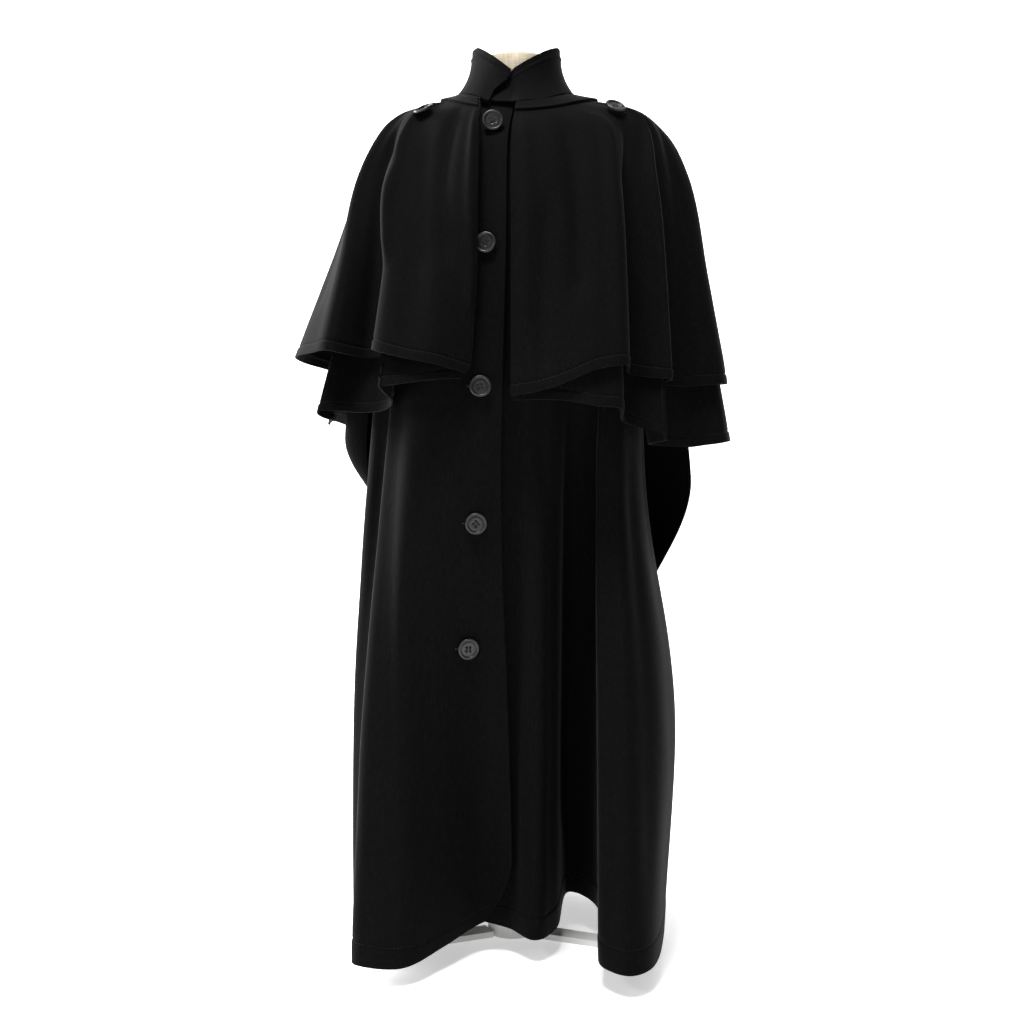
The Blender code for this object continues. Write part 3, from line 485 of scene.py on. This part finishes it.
def under_cape_grid(u, v):
    """The under tier: longer than the upper one, and inside it."""
    ribs = cape_ribs(v, True)
    along = across(ribs, u + BROAD_STEP) - across(ribs, u - BROAD_STEP)
    above = cape_ribs(np.maximum(v - NORMAL_STEP, 0.0), True)
    down = across(cape_ribs(v + NORMAL_STEP, True), u) - across(above, u)
    normal = np.cross(along, down)
    normal /= np.linalg.norm(normal, axis=2, keepdims=True)
    insets = np.interp(u, range(len(CAPE_FOLDS)), [row[CAPE_INSET] for row in CAPE_FOLDS])
    depth = CAPE_LAYER + (insets - CAPE_LAYER) * v[:, None]
    return across(ribs, u) - normal * depth[:, :, None]


def band_grid(u, v):
    """The neck band, flat on the upper tier."""
    points = upper_cape_grid(u, v)
    return points + normals_of(points) * CAPE_LAYER


def smooth(share):
    """A share from 0 to 1, eased at both ends."""
    share = np.clip(share, 0, 1)
    return share ** 2 * (3 - 2 * share)


def crease_height(creases, u, v):
    """Height of all creases at each grid place, in metres."""
    height = np.zeros(u.shape)
    rows = v[:, None]
    for u0, v0, u1, v1, width, rise in creases:
        middle = u0 + (u1 - u0) * np.clip((rows - v0) / (v1 - v0), 0, 1)
        window = smooth((rows - v0) / CREASE_RISE) * smooth((v1 - rows) / CREASE_FALL)
        height += MILLIMETRE * rise * window * np.exp(-((u - middle) / width) ** 2)
    return height


def flutter(points):
    """Fine unevenness of the cloth."""
    scale = np.array((1.0, 1.0, FLUTTER_STRETCH)) / FLUTTER_SIZE
    places = (points * scale).reshape(-1, 3)
    return np.array([noise.noise(Vector(place)) for place in places]).reshape(points.shape[:2]) * FLUTTER


def length_to_hem(points):
    """Length of cloth from each grid place down to the hem."""
    steps = np.linalg.norm(np.diff(points, axis=0), axis=2)
    below = np.cumsum(steps[::-1], axis=0)[::-1]
    return np.vstack([below, np.zeros((1, points.shape[1]))])


def hem_profile(below, depth):
    """The turned hem stands out a little, and its stitching pulls the cloth in."""
    turned = HEM_RISE * np.clip((depth - below) / HEM_STEP, 0, 1)
    groove = STITCH_SINK * np.exp(-((below - depth) / STITCH_WIDTH) ** 2)
    return turned - groove


# ---------------------------------------------------------------- meshes
def new_object(name, bm, material):
    """An object of a mesh under way, shaded smooth, with one material."""
    mesh = bpy.data.meshes.new(name)
    bm.to_mesh(mesh)
    bm.free()
    mesh.polygons.foreach_set("use_smooth", [True] * len(mesh.polygons))
    mesh.materials.append(material)
    item = bpy.data.objects.new(name, mesh)
    bpy.context.scene.collection.objects.link(item)
    return item


def cloth_shell(name, points, material):
    """A shell of cloth on a grid of points: a grid, moved into place, with a wall and soft edges."""
    rows, columns = points.shape[:2]
    bm = bmesh.new()
    bmesh.ops.create_grid(bm, x_segments=columns - 1, y_segments=rows - 1, size=0.5)
    for vert in bm.verts:
        i = round((vert.co.x + 0.5) * (columns - 1))
        j = round((vert.co.y + 0.5) * (rows - 1))
        vert.co = Vector(points[j, i])
    item = new_object(name, bm, material)
    wall = item.modifiers.new("wall", "SOLIDIFY")
    wall.thickness = CLOTH
    wall.offset = -1.0
    edge = item.modifiers.new("edge", "BEVEL")
    edge.width = EDGE_BEVEL
    edge.segments = 2
    edge.limit_method = "ANGLE"
    edge.angle_limit = math.radians(EDGE_ANGLE)
    return item


def rows_to_hem(start, count, hem_rows, hem_share):
    """v values that crowd towards the hem, where its turning and stitching are."""
    top = np.linspace(start, 1.0 - hem_share, count, endpoint=False)
    return np.concatenate([top, np.linspace(1.0 - hem_share, 1.0, hem_rows)])


def columns_between(start, end, count, v, corner=None):
    """A row of u values for each v; a corner takes away the start of the lowest rows."""
    cut = np.zeros(len(v))
    if corner:
        cut = corner[1] * np.clip((v - corner[0]) / (1 - corner[0]), 0, 1) ** 2
    ease = SEAM_EASE * np.maximum(v, 0.0)
    first = start + (round(start) - start) * ease + cut
    final = end + (round(end) - end) * ease
    return first[:, None] + (final - first)[:, None] * np.linspace(0, 1, count)[None, :]


# ---------------------------------------------------------------- materials
def node_material(name, colour, roughness):
    """A new material with its node tree and its shader."""
    made = bpy.data.materials.new(name)
    made.use_nodes = True
    tree = made.node_tree
    shader = tree.nodes["Principled BSDF"]
    shader.inputs["Base Color"].default_value = (*colour, 1.0)
    shader.inputs["Roughness"].default_value = roughness
    return made, tree, shader


def add_noise(tree, scale, detail, stretch=(1.0, 1.0, 1.0)):
    """Noise on object coordinates, finer along the axes with a larger stretch."""
    place = tree.nodes.new("ShaderNodeTexCoord")
    mapping = tree.nodes.new("ShaderNodeMapping")
    mapping.inputs["Scale"].default_value = stretch
    texture = tree.nodes.new("ShaderNodeTexNoise")
    texture.inputs["Scale"].default_value = scale
    texture.inputs["Detail"].default_value = detail
    tree.links.new(place.outputs["Object"], mapping.inputs["Vector"])
    tree.links.new(mapping.outputs["Vector"], texture.inputs["Vector"])
    return texture.outputs["Fac"]


def add_ramp(tree, source, stops):
    """Colours read off a ramp by a source that runs from 0 to 1."""
    ramp = tree.nodes.new("ShaderNodeValToRGB")
    while len(ramp.color_ramp.elements) < len(stops):
        ramp.color_ramp.elements.new(0.5)
    for element, (place, colour) in zip(ramp.color_ramp.elements, stops):
        element.position = place
        element.color = (*colour, 1.0)
    tree.links.new(source, ramp.inputs["Fac"])
    return ramp.outputs["Color"]


def add_bump(tree, shader, height, distance, strength, below=None):
    """Bump on a shader, over the bump below it if there is one."""
    bump = tree.nodes.new("ShaderNodeBump")
    bump.inputs["Distance"].default_value = distance
    bump.inputs["Strength"].default_value = strength
    tree.links.new(height, bump.inputs["Height"])
    if below:
        tree.links.new(below, bump.inputs["Normal"])
    tree.links.new(bump.outputs["Normal"], shader.inputs["Normal"])
    return bump.outputs["Normal"]


def wool_material():
    """Black brushed wool coating: a felted nap that runs down the cloth, with a dull sheen."""
    made, tree, shader = node_material("wool", (0.006, 0.006, 0.0065), 0.85)
    shader.inputs["Specular IOR Level"].default_value = 0.05
    shader.inputs["Sheen Weight"].default_value = 0.20
    shader.inputs["Sheen Roughness"].default_value = 0.32
    shader.inputs["Sheen Tint"].default_value = (0.16, 0.16, 0.17, 1.0)
    nap = add_noise(tree, scale=900.0, detail=4.0, stretch=(1.0, 1.0, 0.10))
    tree.links.new(add_ramp(tree, nap, WOOL_TONES), shader.inputs["Base Color"])
    felt = add_noise(tree, scale=260.0, detail=3.0, stretch=(1.0, 1.0, 0.30))
    low = add_bump(tree, shader, felt, distance=0.0007, strength=0.55)
    add_bump(tree, shader, nap, distance=0.0004, strength=0.60, below=low)
    return made


def thread_material():
    """Black buttonhole thread with a slight gloss."""
    made, tree, shader = node_material("thread", (0.003, 0.003, 0.003), 0.85)
    twist = add_noise(tree, scale=2600.0, detail=1.0)
    add_bump(tree, shader, twist, distance=0.0001, strength=0.6)
    tree.links.new(add_ramp(tree, twist, THREAD_TONES), shader.inputs["Base Color"])
    return made


def button_material():
    """Polished black button resin, with a faint grain and fine wear."""
    made, tree, shader = node_material("button_resin", (0.013, 0.013, 0.014), 0.22)
    cloud = add_noise(tree, scale=420.0, detail=3.0)
    tree.links.new(add_ramp(tree, cloud, BUTTON_TONES), shader.inputs["Base Color"])
    rough = tree.nodes.new("ShaderNodeMapRange")
    rough.inputs["To Min"].default_value = BUTTON_ROUGHNESS[0]
    rough.inputs["To Max"].default_value = BUTTON_ROUGHNESS[1]
    tree.links.new(cloud, rough.inputs["Value"])
    tree.links.new(rough.outputs["Result"], shader.inputs["Roughness"])
    grain = add_noise(tree, scale=300.0, detail=2.0)
    add_bump(tree, shader, grain, distance=0.00003, strength=0.25)
    return made


def linen_material():
    """Unbleached linen cover: a plain weave with slubs."""
    made, tree, shader = node_material("linen", (0.66, 0.57, 0.44), 0.88)
    shader.inputs["Sheen Weight"].default_value = 0.15
    shader.inputs["Specular IOR Level"].default_value = 0.25
    warp = add_noise(tree, scale=620.0, detail=2.0, stretch=(1.0, 1.0, 0.06))
    weft = add_noise(tree, scale=620.0, detail=2.0, stretch=(0.06, 0.06, 1.0))
    both = tree.nodes.new("ShaderNodeMath")
    both.operation = "ADD"
    tree.links.new(warp, both.inputs[0])
    tree.links.new(weft, both.inputs[1])
    half = tree.nodes.new("ShaderNodeMath")
    half.operation = "MULTIPLY"
    half.inputs[1].default_value = 0.5
    tree.links.new(both.outputs[0], half.inputs[0])
    weave = half.outputs[0]
    tree.links.new(add_ramp(tree, weave, LINEN_TONES), shader.inputs["Base Color"])
    add_bump(tree, shader, weave, distance=0.0006, strength=0.6)
    return made


def paint_material():
    """White stand paint, sprayed, with a slight orange peel."""
    made, tree, shader = node_material("stand_paint", (0.80, 0.80, 0.78), 0.38)
    mist = add_noise(tree, scale=24.0, detail=3.0)
    tree.links.new(add_ramp(tree, mist, PAINT_TONES), shader.inputs["Base Color"])
    peel = add_noise(tree, scale=300.0, detail=2.0)
    add_bump(tree, shader, peel, distance=0.0002, strength=0.35)
    return made


def floor_material():
    """Pale matt studio paper."""
    made, tree, shader = node_material("floor", (0.88, 0.88, 0.88), 0.90)
    shader.inputs["Specular IOR Level"].default_value = 0.10
    shader.inputs["Emission Color"].default_value = (1.0, 1.0, 1.0, 1.0)
    shader.inputs["Emission Strength"].default_value = FLOOR_GLOW
    fibre = add_noise(tree, scale=3.0, detail=2.0)
    tree.links.new(add_ramp(tree, fibre, FLOOR_TONES), shader.inputs["Base Color"])
    return made


WOOL = wool_material()
THREAD = thread_material()
RESIN = button_material()
LINEN = linen_material()
PAINT = paint_material()


# ---------------------------------------------------------------- the coat
def finish_sheet(item, node):
    """What a cloth piece rides on, and the node it stands for, which is hidden."""
    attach(item, "root")
    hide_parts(node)


def stitch_run(name, lines):
    """Runs of short thread stitches along lines of points on the cloth, with their normals."""
    bm = bmesh.new()
    for points, normals in lines:
        along = np.concatenate([[0.0], np.cumsum(np.linalg.norm(np.diff(points, axis=0), axis=1))])
        for k in range(int(along[-1] / STITCH_PITCH)):
            start = (k + STITCH_START) * STITCH_PITCH
            ends = [Vector([np.interp(place, along, points[:, c]) for c in range(3)])
                    for place in (start, start + STITCH_LENGTH)]
            normal = Vector([np.interp(start, along, normals[:, c]) for c in range(3)])
            direction = (ends[1] - ends[0]).normalized()
            side = normal.cross(direction).normalized()
            turn = Matrix((side, normal, direction)).transposed().to_4x4()
            middle = (ends[0] + ends[1]) / 2 - normal * THREAD_RADIUS * THREAD_BURIED
            bmesh.ops.create_cone(bm, cap_ends=True, segments=THREAD_SIDES, radius1=THREAD_RADIUS,
                                  radius2=THREAD_RADIUS, depth=STITCH_LENGTH,
                                  matrix=Matrix.Translation(middle) @ turn)
    item = new_object(name, bm, THREAD)
    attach(item, "root")
    return item


def line_above_hem(points, depth):
    """A line on the cloth at a constant height of cloth above its lower edge."""
    below = length_to_hem(points)[::-1]
    normal = normals_of(points)[::-1]
    upward = points[::-1]
    columns = range(points.shape[1])
    line = [[np.interp(depth, below[:, i], upward[:, i, c]) for c in range(3)] for i in columns]
    facing = [[np.interp(depth, below[:, i], normal[:, i, c]) for c in range(3)] for i in columns]
    return np.array(line), np.array(facing)


def panel_points(grid, u, v, creases, crease_share, hem_depth):
    """The finished outer face of a panel: drape, creases, flutter and hem."""
    points = grid(u, v)
    height = crease_height(creases, u, v) * crease_share + flutter(points)
    settle = np.clip(v / SETTLE_V, 0, 1)[:, None]
    points = points + normals_of(points) * (height * settle)[:, :, None]
    return points + normals_of(points) * hem_profile(length_to_hem(points), hem_depth)[:, :, None]


def add_panel(node, points, hem_depth):
    """A cloth piece, with the stitching above its lower edge."""
    item = cloth_shell(node + "_cloth", points, WOOL)
    threads = stitch_run(node + "_thread", [line_above_hem(points, hem_depth)])
    finish_sheet(item, node)


def build_body():
    """The two fronts and the back."""
    last = len(BODY_FOLDS) - 1.0
    right, left = BODY_SEAMS
    panels = (
        # node, grid, top, first and last fold line, corner, columns
        ("body_right_front", body_grid, BODY_TOP_V, 0.0, right - SEAM_U, BODY_CORNER, 120),
        ("body_back", back_grid, BODY_TOP_V, right + SEAM_U, left - SEAM_U, None, 190),
        ("body_left_front", body_grid, LEFT_TOP_V, left + SEAM_U, last, None, 190),
    )
    for node, grid, top, start, end, corner, columns in panels:
        v = rows_to_hem(top, *BODY_ROWS)
        u = columns_between(start, end, columns, v, corner)
        points = panel_points(grid, u, v, BODY_CREASES, 1.0, BODY_HEM_DEPTH)
        add_panel(node, points, BODY_HEM_DEPTH)


def build_capes():
    """Both tiers, each in a right, a back and a left panel."""
    v = rows_to_hem(0.0, *CAPE_ROWS)
    last = len(CAPE_FOLDS) - 1.0
    right, left = CAPE_SEAMS
    tiers = (
        # tier, grid, share of the creases' height, what it rests on
        ("upper_cape", upper_cape_grid, 1.0, ("under_cape_right_cloth", "under_cape_left_cloth")),
        ("under_cape", under_cape_grid, 0.7, ("dress_form",)),
    )
    panels = (
        # side, first and last fold line, corner, columns
        ("_right", 0.0, right - SEAM_U, CAPE_CORNER, 130),
        ("_back", right + SEAM_U, left - SEAM_U, None, 140),
        ("_left", left + SEAM_U, last, None, 180),
    )
    for tier, grid, share, rests_on in tiers:
        for side, start, end, corner, columns in panels:
            u = columns_between(start, end, columns, v, corner)
            points = panel_points(grid, u, v, CAPE_CREASES, share, HEM_DEPTH)
            add_panel(tier + side, points, HEM_DEPTH)


def build_neck_band():
    """The band's two halves, stitched down round the neck."""
    v = np.linspace(0.0, BAND_V, BAND_ROWS)
    last = len(CAPE_FOLDS) - 1.0
    halves = (("right", BAND_START, CAPE_CENTRE_BACK - SEAM_U),
              ("left", CAPE_CENTRE_BACK + SEAM_U, last))
    for side, start, end in halves:
        points = band_grid(columns_between(start, end, BAND_COLUMNS, v), v)
        add_panel("neck_band_" + side, points, BAND_STITCH)


def collar_grid(side, bearings, v):
    """The stand collar's outer face, from its foot up to its top edge."""
    point_bearing, point_z = {name: rest for name, *rest in COLLAR_POINTS}[side]
    size = np.abs(bearings)
    feet = np.array(COLLAR_FOOT)
    foot = np.interp(size, feet[:, 0], feet[:, 1])
    depth, centre, width = COLLAR_DIPS[side]
    foot -= COLLAR_DROP + depth * np.exp(-((size - centre) / width) ** 2)
    middle = math.sin(math.radians(COLLAR_MEET))
    reach = math.sin(math.radians(point_bearing)) - middle
    share = (np.sin(np.radians(bearings)) - middle) / reach
    share = np.where(size > abs(point_bearing), 1.0, share)
    behind = np.maximum(size - abs(point_bearing), 0.0) / (COLLAR_SEAM - abs(point_bearing))
    front = COLLAR_MEET_Z + (point_z - COLLAR_MEET_Z) * share
    top = np.maximum(front, COLLAR_MEET_Z - COLLAR_TUCK_SINK) + (COLLAR_BACK_Z - point_z) * behind
    z = foot + (top - foot) * v[:, None]
    spread = (1 - v[:, None]) ** COLLAR_FLARE
    angle = np.radians(bearings)
    tucks = np.array(COLLAR_TUCK)
    tuck = np.interp(bearings, tucks[:, 0], tucks[:, 1]) if side == "left" else 0.0
    facing = np.cos(angle) > 0
    top_along = np.where(facing, COLLAR_TOP_RADIUS[1], COLLAR_TOP_RADIUS[2])
    foot_along = np.where(facing, COLLAR_FOOT_RADIUS[1], COLLAR_FOOT_RADIUS[2])
    across_reach = COLLAR_TOP_RADIUS[0] + (COLLAR_FOOT_RADIUS[0] - COLLAR_TOP_RADIUS[0]) * spread - tuck
    along_reach = top_along + (foot_along - top_along) * spread - tuck
    return np.stack([NECK_X + across_reach * np.sin(angle), -along_reach * np.cos(angle), z], axis=2)


def build_collar():
    """The stand collar's two halves, seamed at the centre back."""
    v = np.linspace(0.0, 1.0, COLLAR_ROWS)
    ahead, behind = COLLAR_COLUMNS
    cut = np.array(COLLAR_CUT)
    for side, point_bearing, _ in COLLAR_POINTS:
        end = math.copysign(COLLAR_SEAM, point_bearing)
        start = np.interp(v, cut[:, 0], cut[:, 1]) if side == "right" else np.full(len(v), COLLAR_TUCK[0][0])
        front = start[:, None] + (point_bearing - start)[:, None] * np.linspace(0, 1, ahead)[None, :]
        back = point_bearing + (end - point_bearing) * np.linspace(0, 1, behind)[1:]
        bearings = np.hstack([front, np.tile(back, (len(v), 1))])
        points = collar_grid(side, bearings, v)
        points = points[:, ::-1] if side == "right" else points
        lift = hem_profile(length_to_hem(points), COLLAR_STITCH) + flutter(points)
        outward = -normals_of(points)
        points = points + outward * lift[:, :, None]
        item = cloth_shell("collar_" + side + "_cloth", points[::-1], WOOL)
        line, facing = line_above_hem(points, COLLAR_STITCH)
        threads = stitch_run("collar_" + side + "_thread", [(line, -facing)])
        finish_sheet(item, "collar_" + side)


# ---------------------------------------------------------------- buttons
def button_mesh():
    """A four-hole button: a rolled rim round a dish, spun from its profile, then drilled."""
    rim = BUTTON_RIM
    profile = list(BUTTON_UNDERSIDE)
    for k in range(rim["count"]):
        angle = math.radians(rim["from"] + rim["step"] * k)
        profile.append((rim["x"] + rim["reach_x"] * math.cos(angle),
                        rim["z"] + rim["reach_z"] * math.sin(angle)))
    profile += BUTTON_DISH
    bm = bmesh.new()
    verts = [bm.verts.new((BUTTON_RADIUS * x, 0.0, BUTTON_HEIGHT * z)) for x, z in profile]
    edges = [bm.edges.new(pair) for pair in zip(verts, verts[1:])]
    bmesh.ops.spin(bm, geom=verts + edges, cent=(0, 0, 0), axis=(0, 0, 1), angle=2 * math.pi,
                   steps=BUTTON_STEPS, use_merge=True)
    bmesh.ops.remove_doubles(bm, verts=bm.verts[:], dist=MERGE_DISTANCE)
    bmesh.ops.recalc_face_normals(bm, faces=bm.faces[:])
    blank = new_object("button_blank", bm, RESIN)
    drill = bmesh.new()
    for k in range(4):
        angle = math.radians(45 + 90 * k)
        spot = (HOLE_REACH * math.cos(angle), HOLE_REACH * math.sin(angle), BUTTON_HEIGHT / 2)
        bmesh.ops.create_cone(drill, cap_ends=True, segments=HOLE_SIDES, radius1=HOLE_RADIUS,
                              radius2=HOLE_RADIUS, depth=BUTTON_HEIGHT * 2,
                              matrix=Matrix.Translation(spot))
    cutter = new_object("button_drill", drill, RESIN)
    cut = blank.modifiers.new("holes", "BOOLEAN")
    cut.object = cutter
    cut.operation = "DIFFERENCE"
    bpy.context.view_layer.update()
    drilled = bpy.data.meshes.new_from_object(blank.evaluated_get(bpy.context.evaluated_depsgraph_get()))
    for item in (blank, cutter):
        bpy.data.objects.remove(item, do_unlink=True)
    return drilled


def button_threads():
    """Two bars of thread between the holes."""
    bm = bmesh.new()
    reach = HOLE_REACH * math.sin(math.radians(45))
    for side in (-1, 1):
        for lane in (-BAR_LANE, BAR_LANE):
            spot = Matrix.Translation((side * reach + lane, 0.0, BUTTON_HEIGHT * BAR_HEIGHT))
            turn = Matrix.Rotation(math.radians(90), 4, "X")
            bmesh.ops.create_cone(bm, cap_ends=True, segments=BAR_SIDES, radius1=BAR_RADIUS,
                                  radius2=BAR_RADIUS, depth=reach * 2 + HOLE_RADIUS,
                                  matrix=spot @ turn)
    return bm


def add_buttonhole(bm, turn):
    """The worked end of the buttonhole, beside the button on the cloth."""
    level = Matrix.Rotation(math.radians(-turn), 4, "Z")
    flat = Matrix.Rotation(math.radians(90), 4, "Y")
    for lane in (-1, 1):
        spot = Matrix.Translation((-BUTTON_RADIUS, lane * BUTTONHOLE_GAP, -BUTTONHOLE_DEPTH))
        bmesh.ops.create_cone(bm, cap_ends=True, segments=BAR_SIDES, radius1=BUTTONHOLE_THREAD,
                              radius2=BUTTONHOLE_THREAD, depth=BUTTONHOLE_LENGTH, matrix=level @ spot @ flat)


def button_place(source, turn):
    """Where a button's node sits: its middle, and the way its face looks."""
    points = [source.matrix_world @ v.co for v in source.data.vertices]
    middle = sum(points, Vector()) / len(points)
    spread = np.array([p - middle for p in points])
    axis = Vector(np.linalg.svd(spread, full_matrices=False)[2][2])
    outward = Vector((middle.x, middle.y, SHOULDER_UP if "shoulder" in source.name else 0.0))
    if axis.dot(outward) < 0:
        axis = -axis
    low = min((p - middle).dot(axis) for p in points)
    turned = axis.to_track_quat("Z", "Y").to_matrix().to_4x4()
    spin = Matrix.Rotation(math.radians(turn), 4, "Z")
    return Matrix.Translation(middle + axis * low) @ turned @ spin


def build_buttons():
    """The five front and two shoulder buttons, each where its node sits."""
    disc = button_mesh()
    for node in sorted(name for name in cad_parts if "button" in name):
        place = button_place(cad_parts[node], BUTTON_TURNS.get(node, 0.0))
        mesh = disc.copy()
        mesh.transform(place)
        item = bpy.data.objects.new(node + "_resin", mesh)
        bpy.context.scene.collection.objects.link(item)
        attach(item, "root")
        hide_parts(node)
        bars = button_threads()
        if node in BUTTONHOLES:
            add_buttonhole(bars, BUTTON_TURNS.get(node, 0.0))
        thread = new_object(node + "_thread", bars, THREAD)
        thread.data.transform(place)
        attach(thread, "root")


# ---------------------------------------------------------------- dress form and stand
def build_form():
    """The linen body: its own sections, closely sampled, with a rolled edge at the neck's top."""
    top = FORM_SECTIONS[-1][0]
    z = np.linspace(FORM_SECTIONS[0][0], top - FORM_RIM_START, FORM_ROWS)
    z = np.concatenate([z, [top - below for below, _ in FORM_RIM]])
    read = weights([row[0] for row in FORM_SECTIONS], z)
    half, front, back = (read @ np.array([row[c] for row in FORM_SECTIONS]) for c in (1, 2, 3))
    rolled = np.concatenate([np.zeros(FORM_ROWS), [inset for _, inset in FORM_RIM]])
    bm = bmesh.new()
    rings = []
    for j in range(len(z)):
        share = min(max((z[j] - NECK_SHIFT_FROM) / NECK_SHIFT_OVER, 0.0), 1.0)
        ring = bmesh.ops.create_circle(bm, cap_ends=False, segments=FORM_COLUMNS, radius=1.0)["verts"]
        for vert in ring:
            reach = (front[j] if vert.co.y < 0 else back[j]) - rolled[j]
            vert.co = Vector((NECK_X * share + (half[j] - rolled[j]) * vert.co.x, reach * vert.co.y, z[j]))
        rings.append(list({edge for vert in ring for edge in vert.link_edges}))
    for low, high in zip(rings, rings[1:]):
        bmesh.ops.bridge_loops(bm, edges=low + high)
    for rim in (rings[0], rings[-1]):
        bmesh.ops.holes_fill(bm, edges=rim, sides=FORM_COLUMNS)
    bmesh.ops.recalc_face_normals(bm, faces=bm.faces[:])
    item = new_object("form_linen", bm, LINEN)
    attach(item, "root")
    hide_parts("dress_form")


def finish_stand():
    """The stand keeps its construction shape, and gets its paint."""
    for name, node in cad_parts.items():
        if name.startswith("stand"):
            node.data.materials.clear()
            node.data.materials.append(PAINT)


# ---------------------------------------------------------------- studio
def area_light(name, place, aim, size, power):
    """A soft rectangular light at a place, turned to its aim."""
    data = bpy.data.lights.new(name, "AREA")
    data.shape = "RECTANGLE"
    data.size = size[0]
    data.size_y = size[1]
    data.energy = power
    item = bpy.data.objects.new(name, data)
    item.location = place
    item.rotation_euler = (Vector(aim) - Vector(place)).to_track_quat("-Z", "Y").to_euler()
    bpy.context.scene.collection.objects.link(item)


def build_sweep():
    """A floor that curves up into a back wall, so no horizon shows."""
    bm = bmesh.new()
    bmesh.ops.create_grid(bm, x_segments=1, y_segments=SWEEP_ROWS, size=1.0)
    bend_end = FLOOR_SHARE + BEND_SHARE
    for vert in bm.verts:
        t = (vert.co.y + 1) / 2
        flat = min(t / FLOOR_SHARE, 1.0)
        turn = math.radians(90) * min(max((t - FLOOR_SHARE) / BEND_SHARE, 0.0), 1.0)
        rise = max((t - bend_end) / (1 - bend_end), 0.0)
        vert.co = Vector((vert.co.x * FLOOR_HALF_WIDTH,
                          FLOOR_FRONT + FLOOR_LENGTH * flat + BEND_RADIUS * math.sin(turn),
                          BEND_RADIUS * (1 - math.cos(turn)) + WALL_HEIGHT * rise))
    bmesh.ops.recalc_face_normals(bm, faces=bm.faces[:])
    floor = new_object("floor", bm, floor_material())


def build_studio():
    """Floor, soft light and the camera."""
    scene = bpy.context.scene
    build_sweep()
    world = bpy.data.worlds.new("studio")
    world.use_nodes = True
    world.node_tree.nodes["Background"].inputs["Color"].default_value = WORLD_COLOUR
    world.node_tree.nodes["Background"].inputs["Strength"].default_value = WORLD_STRENGTH
    scene.world = world
    for light in LIGHTS:
        area_light(*light)
    scene.view_settings.view_transform = "Standard"
    camera = bpy.data.objects.new("camera", bpy.data.cameras.new("camera"))
    scene.collection.objects.link(camera)
    camera.location = CAMERA_PLACE
    camera.rotation_euler = (math.radians(90), 0.0, 0.0)
    camera.data.sensor_width = CAMERA_SENSOR
    camera.data.lens = CAMERA_LENS
    camera.data.shift_y = CAMERA_SHIFT
    scene.camera = camera


build_body()
build_capes()
build_neck_band()
build_collar()
build_buttons()
build_form()
finish_stand()
build_studio()
